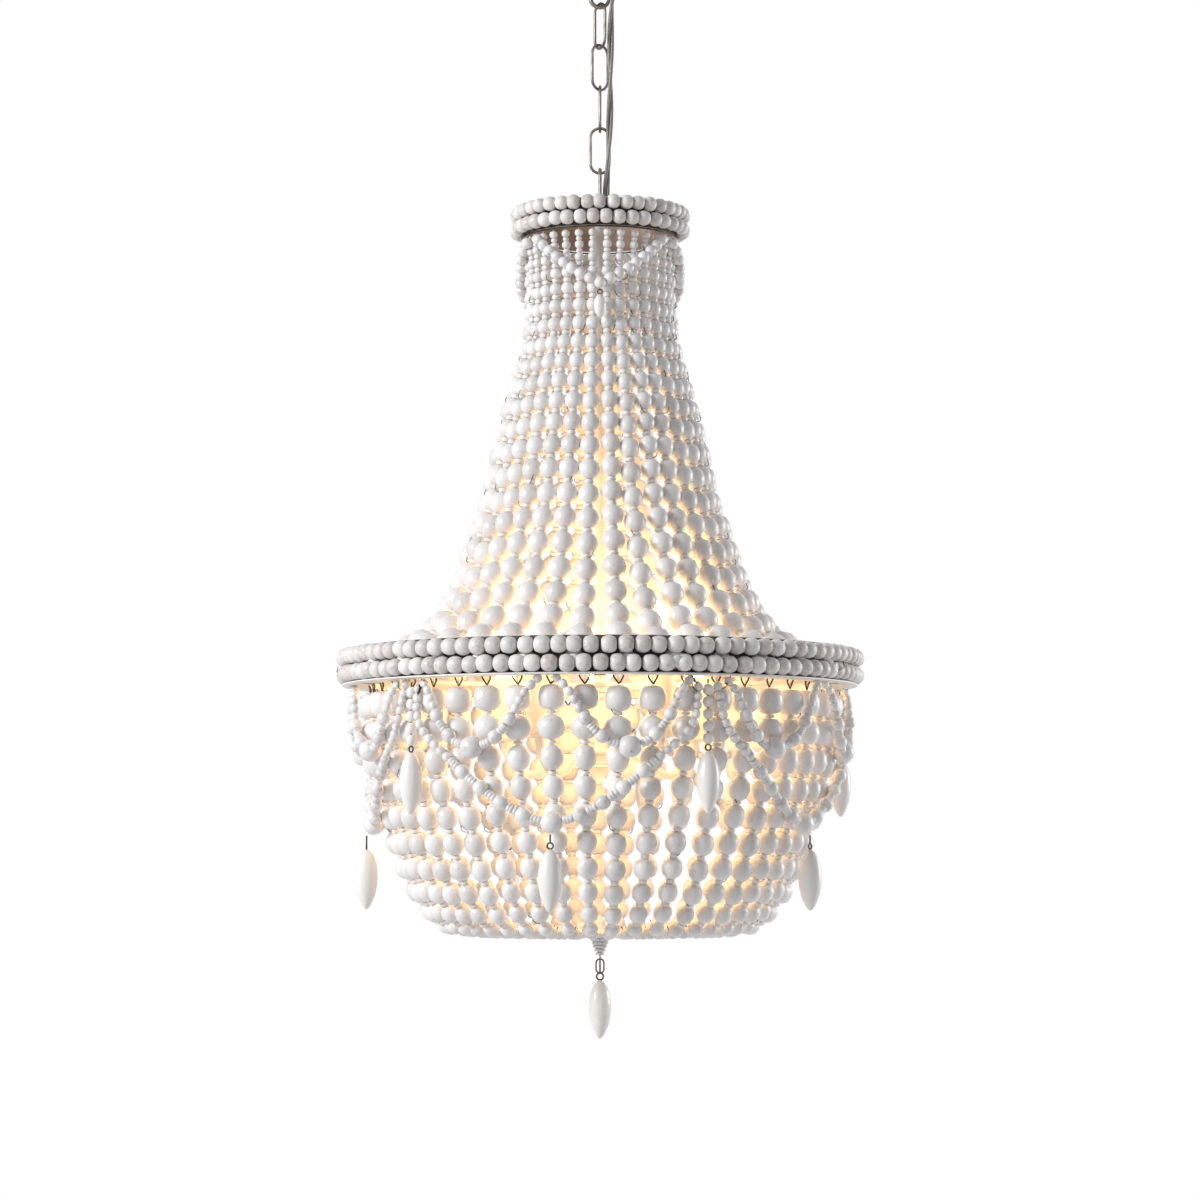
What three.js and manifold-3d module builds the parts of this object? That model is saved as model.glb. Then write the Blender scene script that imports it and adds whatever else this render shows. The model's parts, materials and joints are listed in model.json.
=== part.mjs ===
// Beaded chandelier hung from a ceiling bracket by four chain links, in millimetres, +Z up.
// The origin is the middle of the bracket's top face, the face that meets the ceiling.
// Angles go round +Z from the front, -Y, towards +X.

import * as THREE from "three";
import { mergeVertices } from "three/addons/utils/BufferGeometryUtils.js";
import Module from "manifold-3d";

const wasm = await Module();
wasm.setup();

// Fits between pieces, and how far a cutter passes the face that it cuts.
const clearance = 0.3;
const restGap = 0.6;
const swagGap = 1.4;
const overrun = 2;

// Ceiling bracket: a flat bar with a threaded boss under its middle.
const bracketLength = 104;
const bracketWidth = 24;
const bracketThickness = 3;
const bossRadius = 9;
const bossDepth = 11;
const bossFloor = 1.5;
const slotWidth = 5;
const slotLength = 12;
const slotOffset = 23;

// Canopy: a spun cup that covers the bracket.
const canopyRadius = 60;
const canopyDepth = 30;
const canopyWall = 1.4;
const canopyEdgeRadius = 10;
const canopySegments = 24;

// Canopy screws with domed nuts.
const screwRadius = 2;
const screwOffset = 38;
const capNutRadius = 5.5;
const capNutHeight = 7;
const screwSegments = 8;

// Threaded nipple, collar and ring under the canopy.
const nippleRadius = 5;
const collarRadius = 9;
const collarHeight = 5;
const canopyRingRadius = 9;
const canopyRingWire = 4;
const wireSides = 6;
const canopyRingSteps = 12;

// Chain links, each a closed oval of wire, turned about the vertical one by one.
const linkLength = 46.5;
const linkWidth = 21;
const linkWire = 2.8;
const linkGap = 0.4;
const linkTurnsDegrees = [-58, 36, 90, 0];
const linkBendSteps = 6;

// Stem: loop and coupling at its top, tube, nuts.
const stemLoopWire = 3.5;
const stemLoopWidth = 18;
const stemLoopHeight = 36;
const couplingRadius = 10.5;
const couplingHeight = 14;
const couplingFloor = 5;
const stemRadius = 5;
const stemTail = 8;
const stemNutRadius = 9;
const stemNutHeight = 5;
const turnedSegments = 12;

// Crown hoop with two rows of beads.
const crownHoopRadius = 72;
const crownHoopHeight = 27;
const hoopWall = 2;
const crownBeadCount = 40;
const crownBeadDiameter = 13;
const crownSpokeCount = 4;
const crownSpokeWidth = 9;
const spokeThickness = 3;
const spokeCollarRadius = 12;
const spokeCollarHeight = 8;

// Body hoop with two rows of barrel beads over a thin flange.
const bodyHoopRadius = 233.5;
const bodyHoopHeight = 35;
const bodyHoopSegments = 34;
const bodyBeadCount = 102;
const bodyBeadDiameter = 16;
const flangeWidth = 10;
const innerFlangeWidth = 13.5;
const flangeThickness = 1.5;
const bodySpokeCount = 5;
const bodySpokeWidth = 11;
const hoopDrop = 387.7;

// A thread's radius where it shows between beads, and a bead's waist as a share of its belly.
const threadRadius = 1;
const tieRadius = 1.5;
const waistShare = 0.62;

// Lamp: hub, curved arms with drip pans, candle sleeves and bulbs.
const lampCount = 5;
const lampDrop = 60;
const lampHubRadius = 28;
const lampHubHeight = 16;
const lampCircleRadius = 95;
const armRadius = 4;
const armSag = 14;
const armRise = 20;
const panRadius = 15;
const panThickness = 3;
const sleeveRadius = 12.5;
const sleeveHeight = 58;
const socketRadius = 8;
const socketDepth = 20;
const bulbRadius = 17.5;
const bulbHeight = 70;
const armSteps = 7;
const lampSegments = 8;

// Upper strands: bead strings from the crown hoop out to the body hoop.
const upperStrandCount = 33;
const upperStrandPhaseDegrees = -5.45;
const upperBeadDiameter = 19.5;
const strandGroups = 4;
const strandSides = 4;
const upperOutShares = [0, -0.018, -0.026, -0.006, 0.088, 0.17, 0.32, 0.377, 0.44, 0.528, 0.71, 0.848, 1];
const upperDownShares = [0, 0.045, 0.15, 0.243, 0.388, 0.536, 0.778, 0.866, 0.915, 0.954, 0.983, 0.995, 1];
const upperSizeShares = [0.09, 0.44, 0.59, 0.65, 0.76, 0.86, 1.02, 1.1, 1.14, 1.1, 0.98, 0.6, 0.1];

// Lower strands: bead strings from the body hoop down and in to the gather plate.
const lowerStrandCount = 45;
const lowerBeadDiameter = 20;
const lowerDepth = 230.6;
const hookInset = 14;
const gatherRadius = 34;
const gatherThickness = 4;
const lowerInShares = [0, 0, 0.001, 0.003, 0.016, 0.05, 0.124, 0.213, 0.308, 0.413, 0.647, 1];
const lowerDownShares = [0, 0.03, 0.085, 0.182, 0.3, 0.42, 0.6, 0.782, 0.903, 0.975, 0.997, 1];
const lowerSizeShares = [0.1, 0.12, 1.22, 1.32, 1.08, 1.04, 1, 0.96, 0.88, 0.78, 0.5, 0.09];

// Swags: bead garlands hooked under the hoops, given for half a swag from its leg to its low point.
const crestDegrees = -47.5;
const shortSwagCount = 10;
const shortSwagDepth = 62;
const shortLegDegrees = [4, 1.6];
const shortAcrossShares = [0, 0.2, 0.42, 0.66, 0.87, 1];
const shortDownShares = [0, 0.22, 0.62, 0.88, 0.98, 1];
const longSwagCount = 5;
const longSwagDepth = 128.5;
const longLegDegrees = 2.1;
const longAcrossShares = [0, 0.035, 0.12, 0.27, 0.44, 0.62, 0.8, 0.93, 1];
const longDownShares = [0, 0.26, 0.41, 0.55, 0.71, 0.85, 0.95, 0.99, 1];
const garlandRadius = 4.6;
const garlandHookStep = 2.6;
const lowBeadDiameter = 21;
const crownSwagCount = 3;
const crownCrestDegrees = 60;
const crownSwagDepth = 50;
const crownLegDegrees = 3;
const crownHookRadius = 73.7;
const crownSwagGap = 4;
const crownAcrossShares = [0, 0.25, 0.5, 0.75, 1];
const crownDownShares = [0.06, 0.32, 0.58, 0.82, 1];
const crownGarlandRadius = 4.6;

// Drops: turned wooden spindles on jump rings.
const jumpRingRadius = 3.2;
const jumpRingWire = 1.6;
const jumpRingSteps = 8;
const spindleLength = 56;
const spindleDiameter = 20.5;
const pendantWireLength = 5.5;
const crestStringLength = 56.5;
const crestBeadCount = 5;
const crestBeadDiameter = 9.5;
const crestHookLength = 4;
const crownSpindleLength = 23;
const crownSpindleDiameter = 11.5;
const finialSpindleLength = 55;
const finialSpindleDiameter = 21;
const spindleSides = 6;
const spindleAlongShares = [0, 0.06, 0.22, 0.46, 0.72, 0.92, 1];
const spindleAcrossShares = [0.16, 0.42, 0.82, 1, 0.76, 0.3, 0.08];

// Gather plate, cone and eye under the basket.
const coneRadius = 14;
const coneTipRadius = 3.5;
const coneHeight = 20;
const eyeRadius = 3;
const finialRingRadius = 6.6;

// Power cord, laced down beside the chain from the canopy into the coupling.
const cordDiameter = 5;
const cordSides = 8;
const cordSteps = 20;
const cordRoute = [
  [15, -4.6, -12],
  [15, -4.6, -22],
  [14.9, -4.6, -34],
  [14, -4.6, -48],
  [13, -4.7, -62],
  [12.3, -4.8, -78],
  [11.8, -4.9, -94],
  [11.4, -5, -110],
  [10.9, -5, -126],
  [10.3, -5, -142],
  [9.6, -5, -158],
  [8.9, -5, -174],
  [8.2, -5, -190],
  [7.5, -4.8, -206],
  [6.6, -4.4, -220],
  [6, -4, -231],
  [6, -4, -237],
];

// Heights that follow from the sizes above, from the ceiling down.
const canopyTop = -clearance;
const canopyBottom = canopyTop - canopyDepth;
const collarTop = canopyBottom - clearance;
const collarBottom = collarTop - collarHeight;
const canopyRingCentre = collarBottom - canopyRingRadius + canopyRingWire / 4;
const linkPitch = linkLength - 2 * linkWire - linkGap;
const firstLinkTop = canopyRingCentre - canopyRingRadius + canopyRingWire / 2 + linkGap + linkWire / 2;
const lastLinkBottom = firstLinkTop - (linkTurnsDegrees.length - 1) * linkPitch - linkLength + linkWire;
const stemLoopTop = lastLinkBottom + linkWire / 2 + linkGap + stemLoopWire / 2;
const couplingTop = stemLoopTop - stemLoopHeight + stemLoopWire;
const couplingBottom = couplingTop - couplingHeight;
const crownCollarTop = couplingBottom - clearance;
const crownTop = crownCollarTop;
const crownBottom = crownTop - crownHoopHeight;
const bodyBottom = crownBottom - hoopDrop - bodyHoopHeight;
const bodyTop = crownBottom - hoopDrop;
const hookTop = bodyBottom - clearance;
const lampHubTop = bodyBottom - lampDrop;
const lampHubBottom = lampHubTop - lampHubHeight;
const armHeight = lampHubTop - lampHubHeight / 2;
const panTop = armHeight + armRise;
const sleeveBottom = panTop + clearance;
const sleeveTop = sleeveBottom + sleeveHeight;
const gatherTop = hookTop - lowerDepth + gatherThickness / 2;
const hookRadius = bodyHoopRadius - hoopWall - hookInset;

const lowerPitchDegrees = 360 / lowerStrandCount;

const radians = THREE.MathUtils.degToRad;
const up = new THREE.Vector3(0, 0, 1);

const finishes = {
  paintedWhite: new THREE.MeshStandardMaterial({ color: 0xe9e6df, roughness: 0.45, metalness: 0.1 }),
  nickel: new THREE.MeshStandardMaterial({ color: 0xb4b2ad, roughness: 0.3, metalness: 1 }),
  clearCord: new THREE.MeshStandardMaterial({ color: 0xb9b5ae, roughness: 0.35, metalness: 0.2 }),
  ringBead: new THREE.MeshStandardMaterial({ color: 0xd9d3cb, roughness: 0.5, metalness: 0 }),
  strandBead: new THREE.MeshStandardMaterial({ color: 0xe6e3e0, roughness: 0.4, metalness: 0 }),
  swagBead: new THREE.MeshStandardMaterial({ color: 0xdfdcda, roughness: 0.4, metalness: 0 }),
  spindleWood: new THREE.MeshStandardMaterial({ color: 0xefeae2, roughness: 0.35, metalness: 0 }),
  sleeve: new THREE.MeshStandardMaterial({ color: 0xf3ecdc, roughness: 0.5, metalness: 0 }),
  bulbGlass: new THREE.MeshStandardMaterial({ color: 0xfff0d0, roughness: 0.15, metalness: 0 }),
};

// The unit vector that points out from the axis at an angle from the front.
function outward(degrees) {
  return new THREE.Vector3(Math.sin(radians(degrees)), -Math.cos(radians(degrees)), 0);
}

// A place at a radius, an angle from the front and a height.
function place(radius, degrees, height) {
  return outward(degrees).multiplyScalar(radius).setZ(height);
}

// The value at x between the entries of two tables, straight from one to the next.
function between(xs, ys, x) {
  const i = THREE.MathUtils.clamp(xs.findIndex((v) => v >= x), 1, xs.length - 1);
  const share = THREE.MathUtils.clamp((x - xs[i - 1]) / (xs[i] - xs[i - 1]), 0, 1);
  return THREE.MathUtils.lerp(ys[i - 1], ys[i], share);
}

// A skin round a string of points, with its own radius at each point. A closed string joins up, and
// an open one ends flat. The reference, a vector for each point, sets where the first side looks.
function stringSkin(points, radii, sides, reference, closed) {
  const last = points.length - 1;
  const vertices = [];
  points.forEach((point, i) => {
    const before = points[i > 0 ? i - 1 : closed ? last : 0];
    const after = points[i < last ? i + 1 : closed ? 0 : last];
    const along = after.clone().sub(before).normalize();
    const side = reference(point).clone();
    side.addScaledVector(along, -side.dot(along)).normalize();
    const across = along.clone().cross(side);
    for (let k = 0; k < sides; k += 1) {
      const turn = (2 * Math.PI * k) / sides;
      const corner = point.clone();
      corner.addScaledVector(side, radii[i] * Math.cos(turn));
      corner.addScaledVector(across, radii[i] * Math.sin(turn));
      vertices.push(corner.x, corner.y, corner.z);
    }
  });
  const faces = [];
  const spans = closed ? points.length : last;
  for (let i = 0; i < spans; i += 1) {
    const here = i * sides;
    const next = ((i + 1) % points.length) * sides;
    for (let k = 0; k < sides; k += 1) {
      const l = (k + 1) % sides;
      faces.push(here + k, here + l, next + k, here + l, next + l, next + k);
    }
  }
  for (let k = 1; k < sides - 1 && !closed; k += 1) {
    faces.push(0, k + 1, k);
    faces.push(last * sides, last * sides + k, last * sides + k + 1);
  }
  const geometry = new THREE.BufferGeometry();
  geometry.setAttribute("position", new THREE.Float32BufferAttribute(vertices, 3));
  geometry.setIndex(faces);
  return geometry;
}

// A profile of [radius, height] pairs turned round the vertical axis.
function turned(profile, segments = turnedSegments) {
  const points = profile.map(([radius, height]) => new THREE.Vector2(radius, height));
  return new THREE.LatheGeometry(points, segments).rotateX(Math.PI / 2);
}

// A tube with a wall: a rectangle of radii and heights turned round the axis.
function turnedRing(inner, outer, bottom, top, segments = turnedSegments) {
  const corners = [
    [inner, bottom],
    [outer, bottom],
    [outer, top],
    [inner, top],
    [inner, bottom],
  ];
  return turned(corners, segments);
}

// An upright rod from one height to another.
function rod(radius, bottom, top, segments = turnedSegments) {
  const geometry = new THREE.CylinderGeometry(radius, radius, top - bottom, segments);
  return geometry.rotateX(Math.PI / 2).translate(0, 0, (top + bottom) / 2);
}

// A bar that lies along the direction of an angle, between two radii.
function radialBar(inner, outer, width, bottom, top, degrees) {
  const bar = new THREE.BoxGeometry(outer - inner, width, top - bottom);
  bar.translate((inner + outer) / 2, 0, (top + bottom) / 2);
  return bar.rotateZ(radians(degrees - 90));
}

function solidOf(geometry) {
  const bare = geometry.clone();
  bare.deleteAttribute("normal");
  bare.deleteAttribute("uv");
  const merged = mergeVertices(bare);
  const mesh = new wasm.Mesh({
    numProp: 3,
    vertProperties: merged.attributes.position.array,
    triVerts: new Uint32Array(merged.index.array),
  });
  return new wasm.Manifold(mesh);
}

function geometryOf(solid) {
  const mesh = solid.getMesh();
  const geometry = new THREE.BufferGeometry();
  geometry.setAttribute("position", new THREE.BufferAttribute(mesh.vertProperties, 3));
  geometry.setIndex(new THREE.BufferAttribute(mesh.triVerts, 1));
  return geometry;
}

function joined(...geometries) {
  return geometryOf(geometries.map(solidOf).reduce((whole, piece) => whole.add(piece)));
}

function cut(geometry, ...cutters) {
  return geometryOf(cutters.map(solidOf).reduce((left, tool) => left.subtract(tool), solidOf(geometry)));
}

const chandelier = new THREE.Group();

// Adds a named mesh with its finish.
function add(name, geometry, finish) {
  const mesh = new THREE.Mesh(geometry, finish);
  mesh.name = name;
  chandelier.add(mesh);
  return mesh;
}

// Closed oval of wire in the plane of the vertical and an angle from +X, its top wire's middle at z.
function ovalWire(length, width, wire, top, turnDegrees) {
  const bend = (width - wire) / 2;
  const straight = length - width;
  const turn = radians(turnDegrees);
  const points = [];
  for (let half = 0; half < 2; half += 1) {
    const middle = top - bend - half * straight;
    for (let i = 0; i <= linkBendSteps; i += 1) {
      const angle = Math.PI * (half + i / linkBendSteps);
      const out = bend * Math.cos(angle);
      const height = middle + bend * Math.sin(angle);
      points.push(new THREE.Vector3(out * Math.cos(turn), out * Math.sin(turn), height));
    }
  }
  const square = new THREE.Vector3(-Math.sin(turn), Math.cos(turn), 0);
  const radii = points.map(() => wire / 2);
  return stringSkin(points, radii, wireSides, () => square, true);
}

function ceilingBracket() {
  const bar = new THREE.BoxGeometry(bracketLength, bracketWidth, bracketThickness);
  bar.translate(0, 0, -bracketThickness / 2);
  const boss = rod(bossRadius, -bracketThickness - bossDepth, -bracketThickness / 2);
  const boreTop = -bracketThickness - bossFloor;
  const bore = rod(nippleRadius + clearance, -bracketThickness - bossDepth - overrun, boreTop);
  const cutters = [bore];
  for (const side of [-1, 1]) {
    const slot = new THREE.BoxGeometry(slotLength, slotWidth, bracketThickness + 2 * overrun);
    cutters.push(slot.translate(side * slotOffset, 0, -bracketThickness / 2));
    const hole = rod(screwRadius + clearance, -bracketThickness - overrun, overrun, screwSegments);
    cutters.push(hole.translate(side * screwOffset, 0, 0));
  }
  return cut(joined(bar, boss), ...cutters);
}

function canopy() {
  const inside = canopyRadius - canopyWall;
  const bendRadius = canopyRadius - canopyEdgeRadius;
  const bendHeight = canopyBottom + canopyEdgeRadius;
  const innerBend = canopyEdgeRadius - canopyWall;
  const slant = Math.SQRT1_2;
  const cup = turned(
    [
      [nippleRadius + clearance, canopyBottom],
      [bendRadius, canopyBottom],
      [bendRadius + canopyEdgeRadius * slant, bendHeight - canopyEdgeRadius * slant],
      [canopyRadius, bendHeight],
      [canopyRadius, canopyTop],
      [inside, canopyTop],
      [inside, bendHeight],
      [bendRadius + innerBend * slant, bendHeight - innerBend * slant],
      [bendRadius, canopyBottom + canopyWall],
      [nippleRadius + clearance, canopyBottom + canopyWall],
      [nippleRadius + clearance, canopyBottom],
    ],
    canopySegments,
  );
  const cutters = [-1, 1].map((side) => {
    const hole = rod(screwRadius + clearance, canopyBottom - overrun, canopyTop, screwSegments);
    return hole.translate(side * screwOffset, 0, 0);
  });
  const [cordX, cordY] = cordRoute[0];
  const cordHole = rod(cordDiameter / 2 + restGap, canopyBottom - overrun, canopyTop, cordSides);
  cutters.push(cordHole.translate(cordX, cordY, 0));
  return cut(cup, ...cutters);
}

// A screw that hangs from the bracket, with a domed nut under the canopy.
function canopyScrew(side) {
  const nutTop = canopyBottom - clearance;
  const nutBottom = nutTop - capNutHeight;
  const shoulder = nutTop - capNutHeight / 2;
  const screw = turned(
    [
      [0, nutBottom],
      [capNutRadius * Math.SQRT1_2, (nutBottom * 3 + shoulder) / 4],
      [capNutRadius, shoulder],
      [capNutRadius, nutTop],
      [screwRadius, nutTop],
      [screwRadius, -clearance],
      [0, -clearance],
    ],
    screwSegments,
  );
  return screw.translate(side * screwOffset, 0, 0);
}

function canopyLoop() {
  const nipple = rod(nippleRadius, collarBottom, -bracketThickness - bossFloor - clearance);
  const collar = rod(collarRadius, collarBottom, collarTop);
  const ring = new THREE.TorusGeometry(canopyRingRadius, canopyRingWire / 2, wireSides, canopyRingSteps);
  ring.rotateX(Math.PI / 2).translate(0, 0, canopyRingCentre);
  return joined(nipple, collar, ring);
}

function powerCord() {
  const section = new THREE.Shape();
  for (let k = 0; k < cordSides; k += 1) {
    const turn = (2 * Math.PI * k) / cordSides;
    const x = (cordDiameter / 2) * Math.cos(turn);
    const y = (cordDiameter / 2) * Math.sin(turn);
    if (k === 0) section.moveTo(x, y);
    else section.lineTo(x, y);
  }
  const end = cordRoute[cordRoute.length - 1];
  const points = cordRoute.map((p) => new THREE.Vector3(...p));
  points.push(new THREE.Vector3(end[0], end[1], couplingTop + clearance));
  const route = new THREE.CatmullRomCurve3(points);
  return new THREE.ExtrudeGeometry(section, { steps: cordSteps, extrudePath: route });
}

// The tall eye on the stem and the coupling under it, bored from below for the stem.
function stemLoop() {
  const loop = ovalWire(stemLoopHeight, stemLoopWidth, stemLoopWire, stemLoopTop, 90);
  const boreRadius = stemRadius + clearance;
  const boreTop = couplingTop - couplingFloor;
  const coupling = turned([
    [0, boreTop],
    [boreRadius, boreTop],
    [boreRadius, couplingBottom],
    [couplingRadius, couplingBottom],
    [couplingRadius, couplingTop],
    [0, couplingTop],
  ]);
  return joined(loop, coupling);
}

// Stem tube with a nut under the body hoop's collar and one under the lamp hub.
function stem() {
  const top = couplingTop - couplingFloor - clearance;
  const upperNut = bodyBottom + spokeThickness - spokeCollarHeight - clearance;
  const lowerNut = lampHubBottom - clearance;
  const bottom = lowerNut - stemNutHeight - stemTail;
  return turned([
    [0, bottom],
    [stemRadius, bottom + stemRadius / 2],
    [stemRadius, lowerNut - stemNutHeight],
    [stemNutRadius, lowerNut - stemNutHeight],
    [stemNutRadius, lowerNut],
    [stemRadius, lowerNut],
    [stemRadius, upperNut - stemNutHeight],
    [stemNutRadius, upperNut - stemNutHeight],
    [stemNutRadius, upperNut],
    [stemRadius, upperNut],
    [stemRadius, top],
    [0, top],
  ]);
}

// Spokes from a collar round the stem to a hoop, with their top faces at one height.
function spokes(count, reach, width, top, phaseDegrees) {
  const bars = [];
  for (let i = 0; i < count; i += 1) {
    const degrees = phaseDegrees + (360 * i) / count;
    bars.push(radialBar(spokeCollarRadius - hoopWall, reach, width, top - spokeThickness, top, degrees));
  }
  return bars;
}

function crownRing() {
  const hoop = turnedRing(
    crownHoopRadius - hoopWall, crownHoopRadius, crownBottom, crownTop, crownBeadCount / 2,
  );
  const collarBase = crownCollarTop - spokeCollarHeight;
  const collar = turnedRing(stemRadius + clearance, spokeCollarRadius, collarBase, crownCollarTop);
  const reach = crownHoopRadius - hoopWall / 2;
  const spokePhase = 180 / crownSpokeCount;
  return joined(hoop, collar, ...spokes(crownSpokeCount, reach, crownSpokeWidth, crownTop, spokePhase));
}

function bodyRing() {
  const inner = bodyHoopRadius - hoopWall;
  const hoop = turned(
    [
      [inner - innerFlangeWidth, bodyBottom],
      [bodyHoopRadius + flangeWidth, bodyBottom],
      [bodyHoopRadius + flangeWidth, bodyBottom + flangeThickness],
      [bodyHoopRadius, bodyBottom + flangeThickness],
      [bodyHoopRadius, bodyTop],
      [inner, bodyTop],
      [inner, bodyBottom + flangeThickness],
      [inner - innerFlangeWidth, bodyBottom + flangeThickness],
      [inner - innerFlangeWidth, bodyBottom],
    ],
    bodyHoopSegments,
  );
  const spokeTop = bodyBottom + spokeThickness;
  const collarBase = spokeTop - spokeCollarHeight;
  const collar = turnedRing(stemRadius + clearance, spokeCollarRadius, collarBase, spokeTop);
  const reach = bodyHoopRadius - hoopWall / 2;
  return joined(hoop, collar, ...spokes(bodySpokeCount, reach, bodySpokeWidth, spokeTop, 0));
}

// A closed row of beads threaded round a hoop: belly and waist by turns.
function beadRow(hoopRadius, diameter, count, height, turnShare) {
  const circle = hoopRadius + clearance + diameter / 2;
  const points = [];
  const radii = [];
  for (let i = 0; i < 2 * count; i += 1) {
    points.push(place(circle, (360 * (i / 2 + turnShare)) / count, height));
    radii.push((diameter / 2) * (i % 2 ? waistShare : 1));
  }
  return stringSkin(points, radii, strandSides, () => up, true);
}

// An open arc of wire that ties the ends of neighbouring strands.
function tieWire(radius, height, fromDegrees, toDegrees, steps) {
  const points = [];
  for (let i = 0; i <= steps; i += 1)
    points.push(place(radius, THREE.MathUtils.lerp(fromDegrees, toDegrees, i / steps), height));
  const radii = points.map(() => tieRadius);
  return stringSkin(points, radii, strandSides, () => up, false);
}

// One strand: its outline in radius and height, swung to its angle.
function strand(outline, radii, degrees) {
  const points = outline.map(([radius, height]) => place(radius, degrees, height));
  return stringSkin(points, radii, strandSides, () => outward(degrees + 90), false);
}

// Strands in groups, each group one string set on a tie wire.
function strandSet(name, count, phaseDegrees, outline, radii, wireRadius, wireHeight) {
  const pitch = 360 / count;
  for (let group = 0; group < strandGroups; group += 1) {
    const first = Math.round((count * group) / strandGroups);
    const end = Math.round((count * (group + 1)) / strandGroups);
    const strands = [];
    for (let i = first; i < end; i += 1) strands.push(strand(outline, radii, phaseDegrees + pitch * i));
    const from = phaseDegrees + pitch * (first - 1 / 4);
    const to = phaseDegrees + pitch * (end - 3 / 4);
    const wire = tieWire(wireRadius, wireHeight, from, to, end - first);
    add(name + "_" + (group + 1), joined(wire, ...strands), finishes.strandBead);
  }
}

const upperStart = crownHoopRadius - hoopWall / 2;
const upperTop = crownBottom - clearance - tieRadius;
const upperEnd = bodyHoopRadius - hoopWall - clearance - threadRadius;
const upperFoot = bodyTop - 2 * threadRadius;
const upperOutline = upperOutShares.map((share, i) => [
  upperStart + share * (upperEnd - upperStart),
  upperTop + upperDownShares[i] * (upperFoot - upperTop),
]);
const upperRadii = upperSizeShares.map((share) => (share * upperBeadDiameter) / 2);

const gatherTie = gatherRadius + clearance + tieRadius;
const lowerFoot = hookTop - threadRadius - lowerDepth;
const lowerOutline = lowerInShares.map((share, i) => [
  hookRadius + share * (gatherTie - hookRadius),
  hookTop + lowerDownShares[i] * (lowerFoot - hookTop),
]);
const lowerRadii = lowerSizeShares.map((share) => (share * lowerBeadDiameter) / 2);

// How far out the strands of an outline reach at a height.
function strandReach(outline, radii, height) {
  const depths = outline.map((p) => -p[1]);
  const radius = between(depths, outline.map((p) => p[0]), -height);
  return radius + between(depths, radii, -height);
}

// How far out a round piece rests in the valley between two neighbouring strands at a height.
function valleyRadius(outline, radii, pitchDegrees, height, size) {
  const depths = outline.map((p) => -p[1]);
  const radius = between(depths, outline.map((p) => p[0]), -height);
  const reach = between(depths, radii, -height) + size + restGap;
  const half = radians(pitchDegrees / 2);
  return radius * Math.cos(half) + Math.sqrt(reach ** 2 - (radius * Math.sin(half)) ** 2);
}

// A closed garland of swags outside the strands it hangs before, by one gap at the hooks and
// another at the low points.
function garland(spec) {
  const points = [];
  const radii = [];
  for (let swag = 0; swag < spec.count; swag += 1) {
    const span = 360 / spec.count;
    const crest = spec.crest + span * swag;
    const legs = [spec.legs[swag % spec.legs.length], spec.legs[(swag + 1) % spec.legs.length]];
    points.push(place(spec.hookRadius, crest, spec.top));
    radii.push(threadRadius);
    const low = spec.across.length - 1;
    for (let step = 0; step <= 2 * low; step += 1) {
      const falling = step <= low;
      const i = falling ? step : 2 * low - step;
      const leg = legs[falling ? 0 : 1];
      const half = (span / 2 - leg) * spec.across[i] + leg;
      const size = i === low ? spec.lowRadius : i === 0 ? threadRadius : spec.radius;
      const height = spec.top - spec.down[i] * spec.depth;
      const gap = THREE.MathUtils.lerp(spec.gaps[0], spec.gaps[1], spec.down[i] ** 2);
      const clear = strandReach(spec.outline, spec.strandRadii, height) + gap + size;
      points.push(place(i === 0 ? spec.hookRadius : clear, crest + (falling ? half : span - half), height));
      radii.push(size);
    }
  }
  return stringSkin(points, radii, strandSides, (point) => new THREE.Vector3(point.x, point.y, 0), true);
}

const hookHeight = hookTop - threadRadius;
const crestBelly = hookTop - crestHookLength - crestStringLength - spindleLength / 2;
const crestMiddle = hookTop - crestHookLength - crestStringLength / 2;
const dropRadius = Math.max(
  valleyRadius(lowerOutline, lowerRadii, lowerPitchDegrees, crestBelly, spindleDiameter / 2),
  valleyRadius(lowerOutline, lowerRadii, lowerPitchDegrees, crestMiddle, crestBeadDiameter / 2),
);
const longHookRadius = dropRadius + garlandHookStep;
const shortHookRadius = longHookRadius + garlandHookStep;
const shortLow = hookHeight - shortSwagDepth;
const longLow = hookHeight - longSwagDepth;
const crownHook = crownBottom - clearance - threadRadius;
const crownLow = crownHook - crownSwagDepth;

const shortGarland = {
  count: shortSwagCount, crest: crestDegrees, legs: shortLegDegrees,
  across: shortAcrossShares, down: shortDownShares, depth: shortSwagDepth,
  top: hookHeight, hookRadius: shortHookRadius, radius: garlandRadius, lowRadius: lowBeadDiameter / 2,
  outline: lowerOutline, strandRadii: lowerRadii, gaps: [swagGap, swagGap],
};
const longGarland = {
  count: longSwagCount, crest: crestDegrees, legs: [longLegDegrees],
  across: longAcrossShares, down: longDownShares, depth: longSwagDepth,
  top: hookHeight, hookRadius: longHookRadius, radius: garlandRadius, lowRadius: lowBeadDiameter / 2,
  outline: lowerOutline, strandRadii: lowerRadii, gaps: [swagGap, swagGap],
};
const crownGarland = {
  count: crownSwagCount, crest: crownCrestDegrees, legs: [crownLegDegrees],
  across: crownAcrossShares, down: crownDownShares, depth: crownSwagDepth,
  top: crownHook, hookRadius: crownHookRadius, radius: crownGarlandRadius, lowRadius: crownGarlandRadius,
  outline: upperOutline, strandRadii: upperRadii, gaps: [restGap, crownSwagGap],
};

// Spindle of turned wood with its top end at a height.
function spindle(length, diameter, top) {
  const profile = spindleAlongShares.map((share, i) => [
    (spindleAcrossShares[i] * diameter) / 2,
    top - share * length,
  ]);
  profile.push([0, top - length]);
  profile.unshift([0, top]);
  return turned(profile.reverse(), spindleSides);
}

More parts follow.
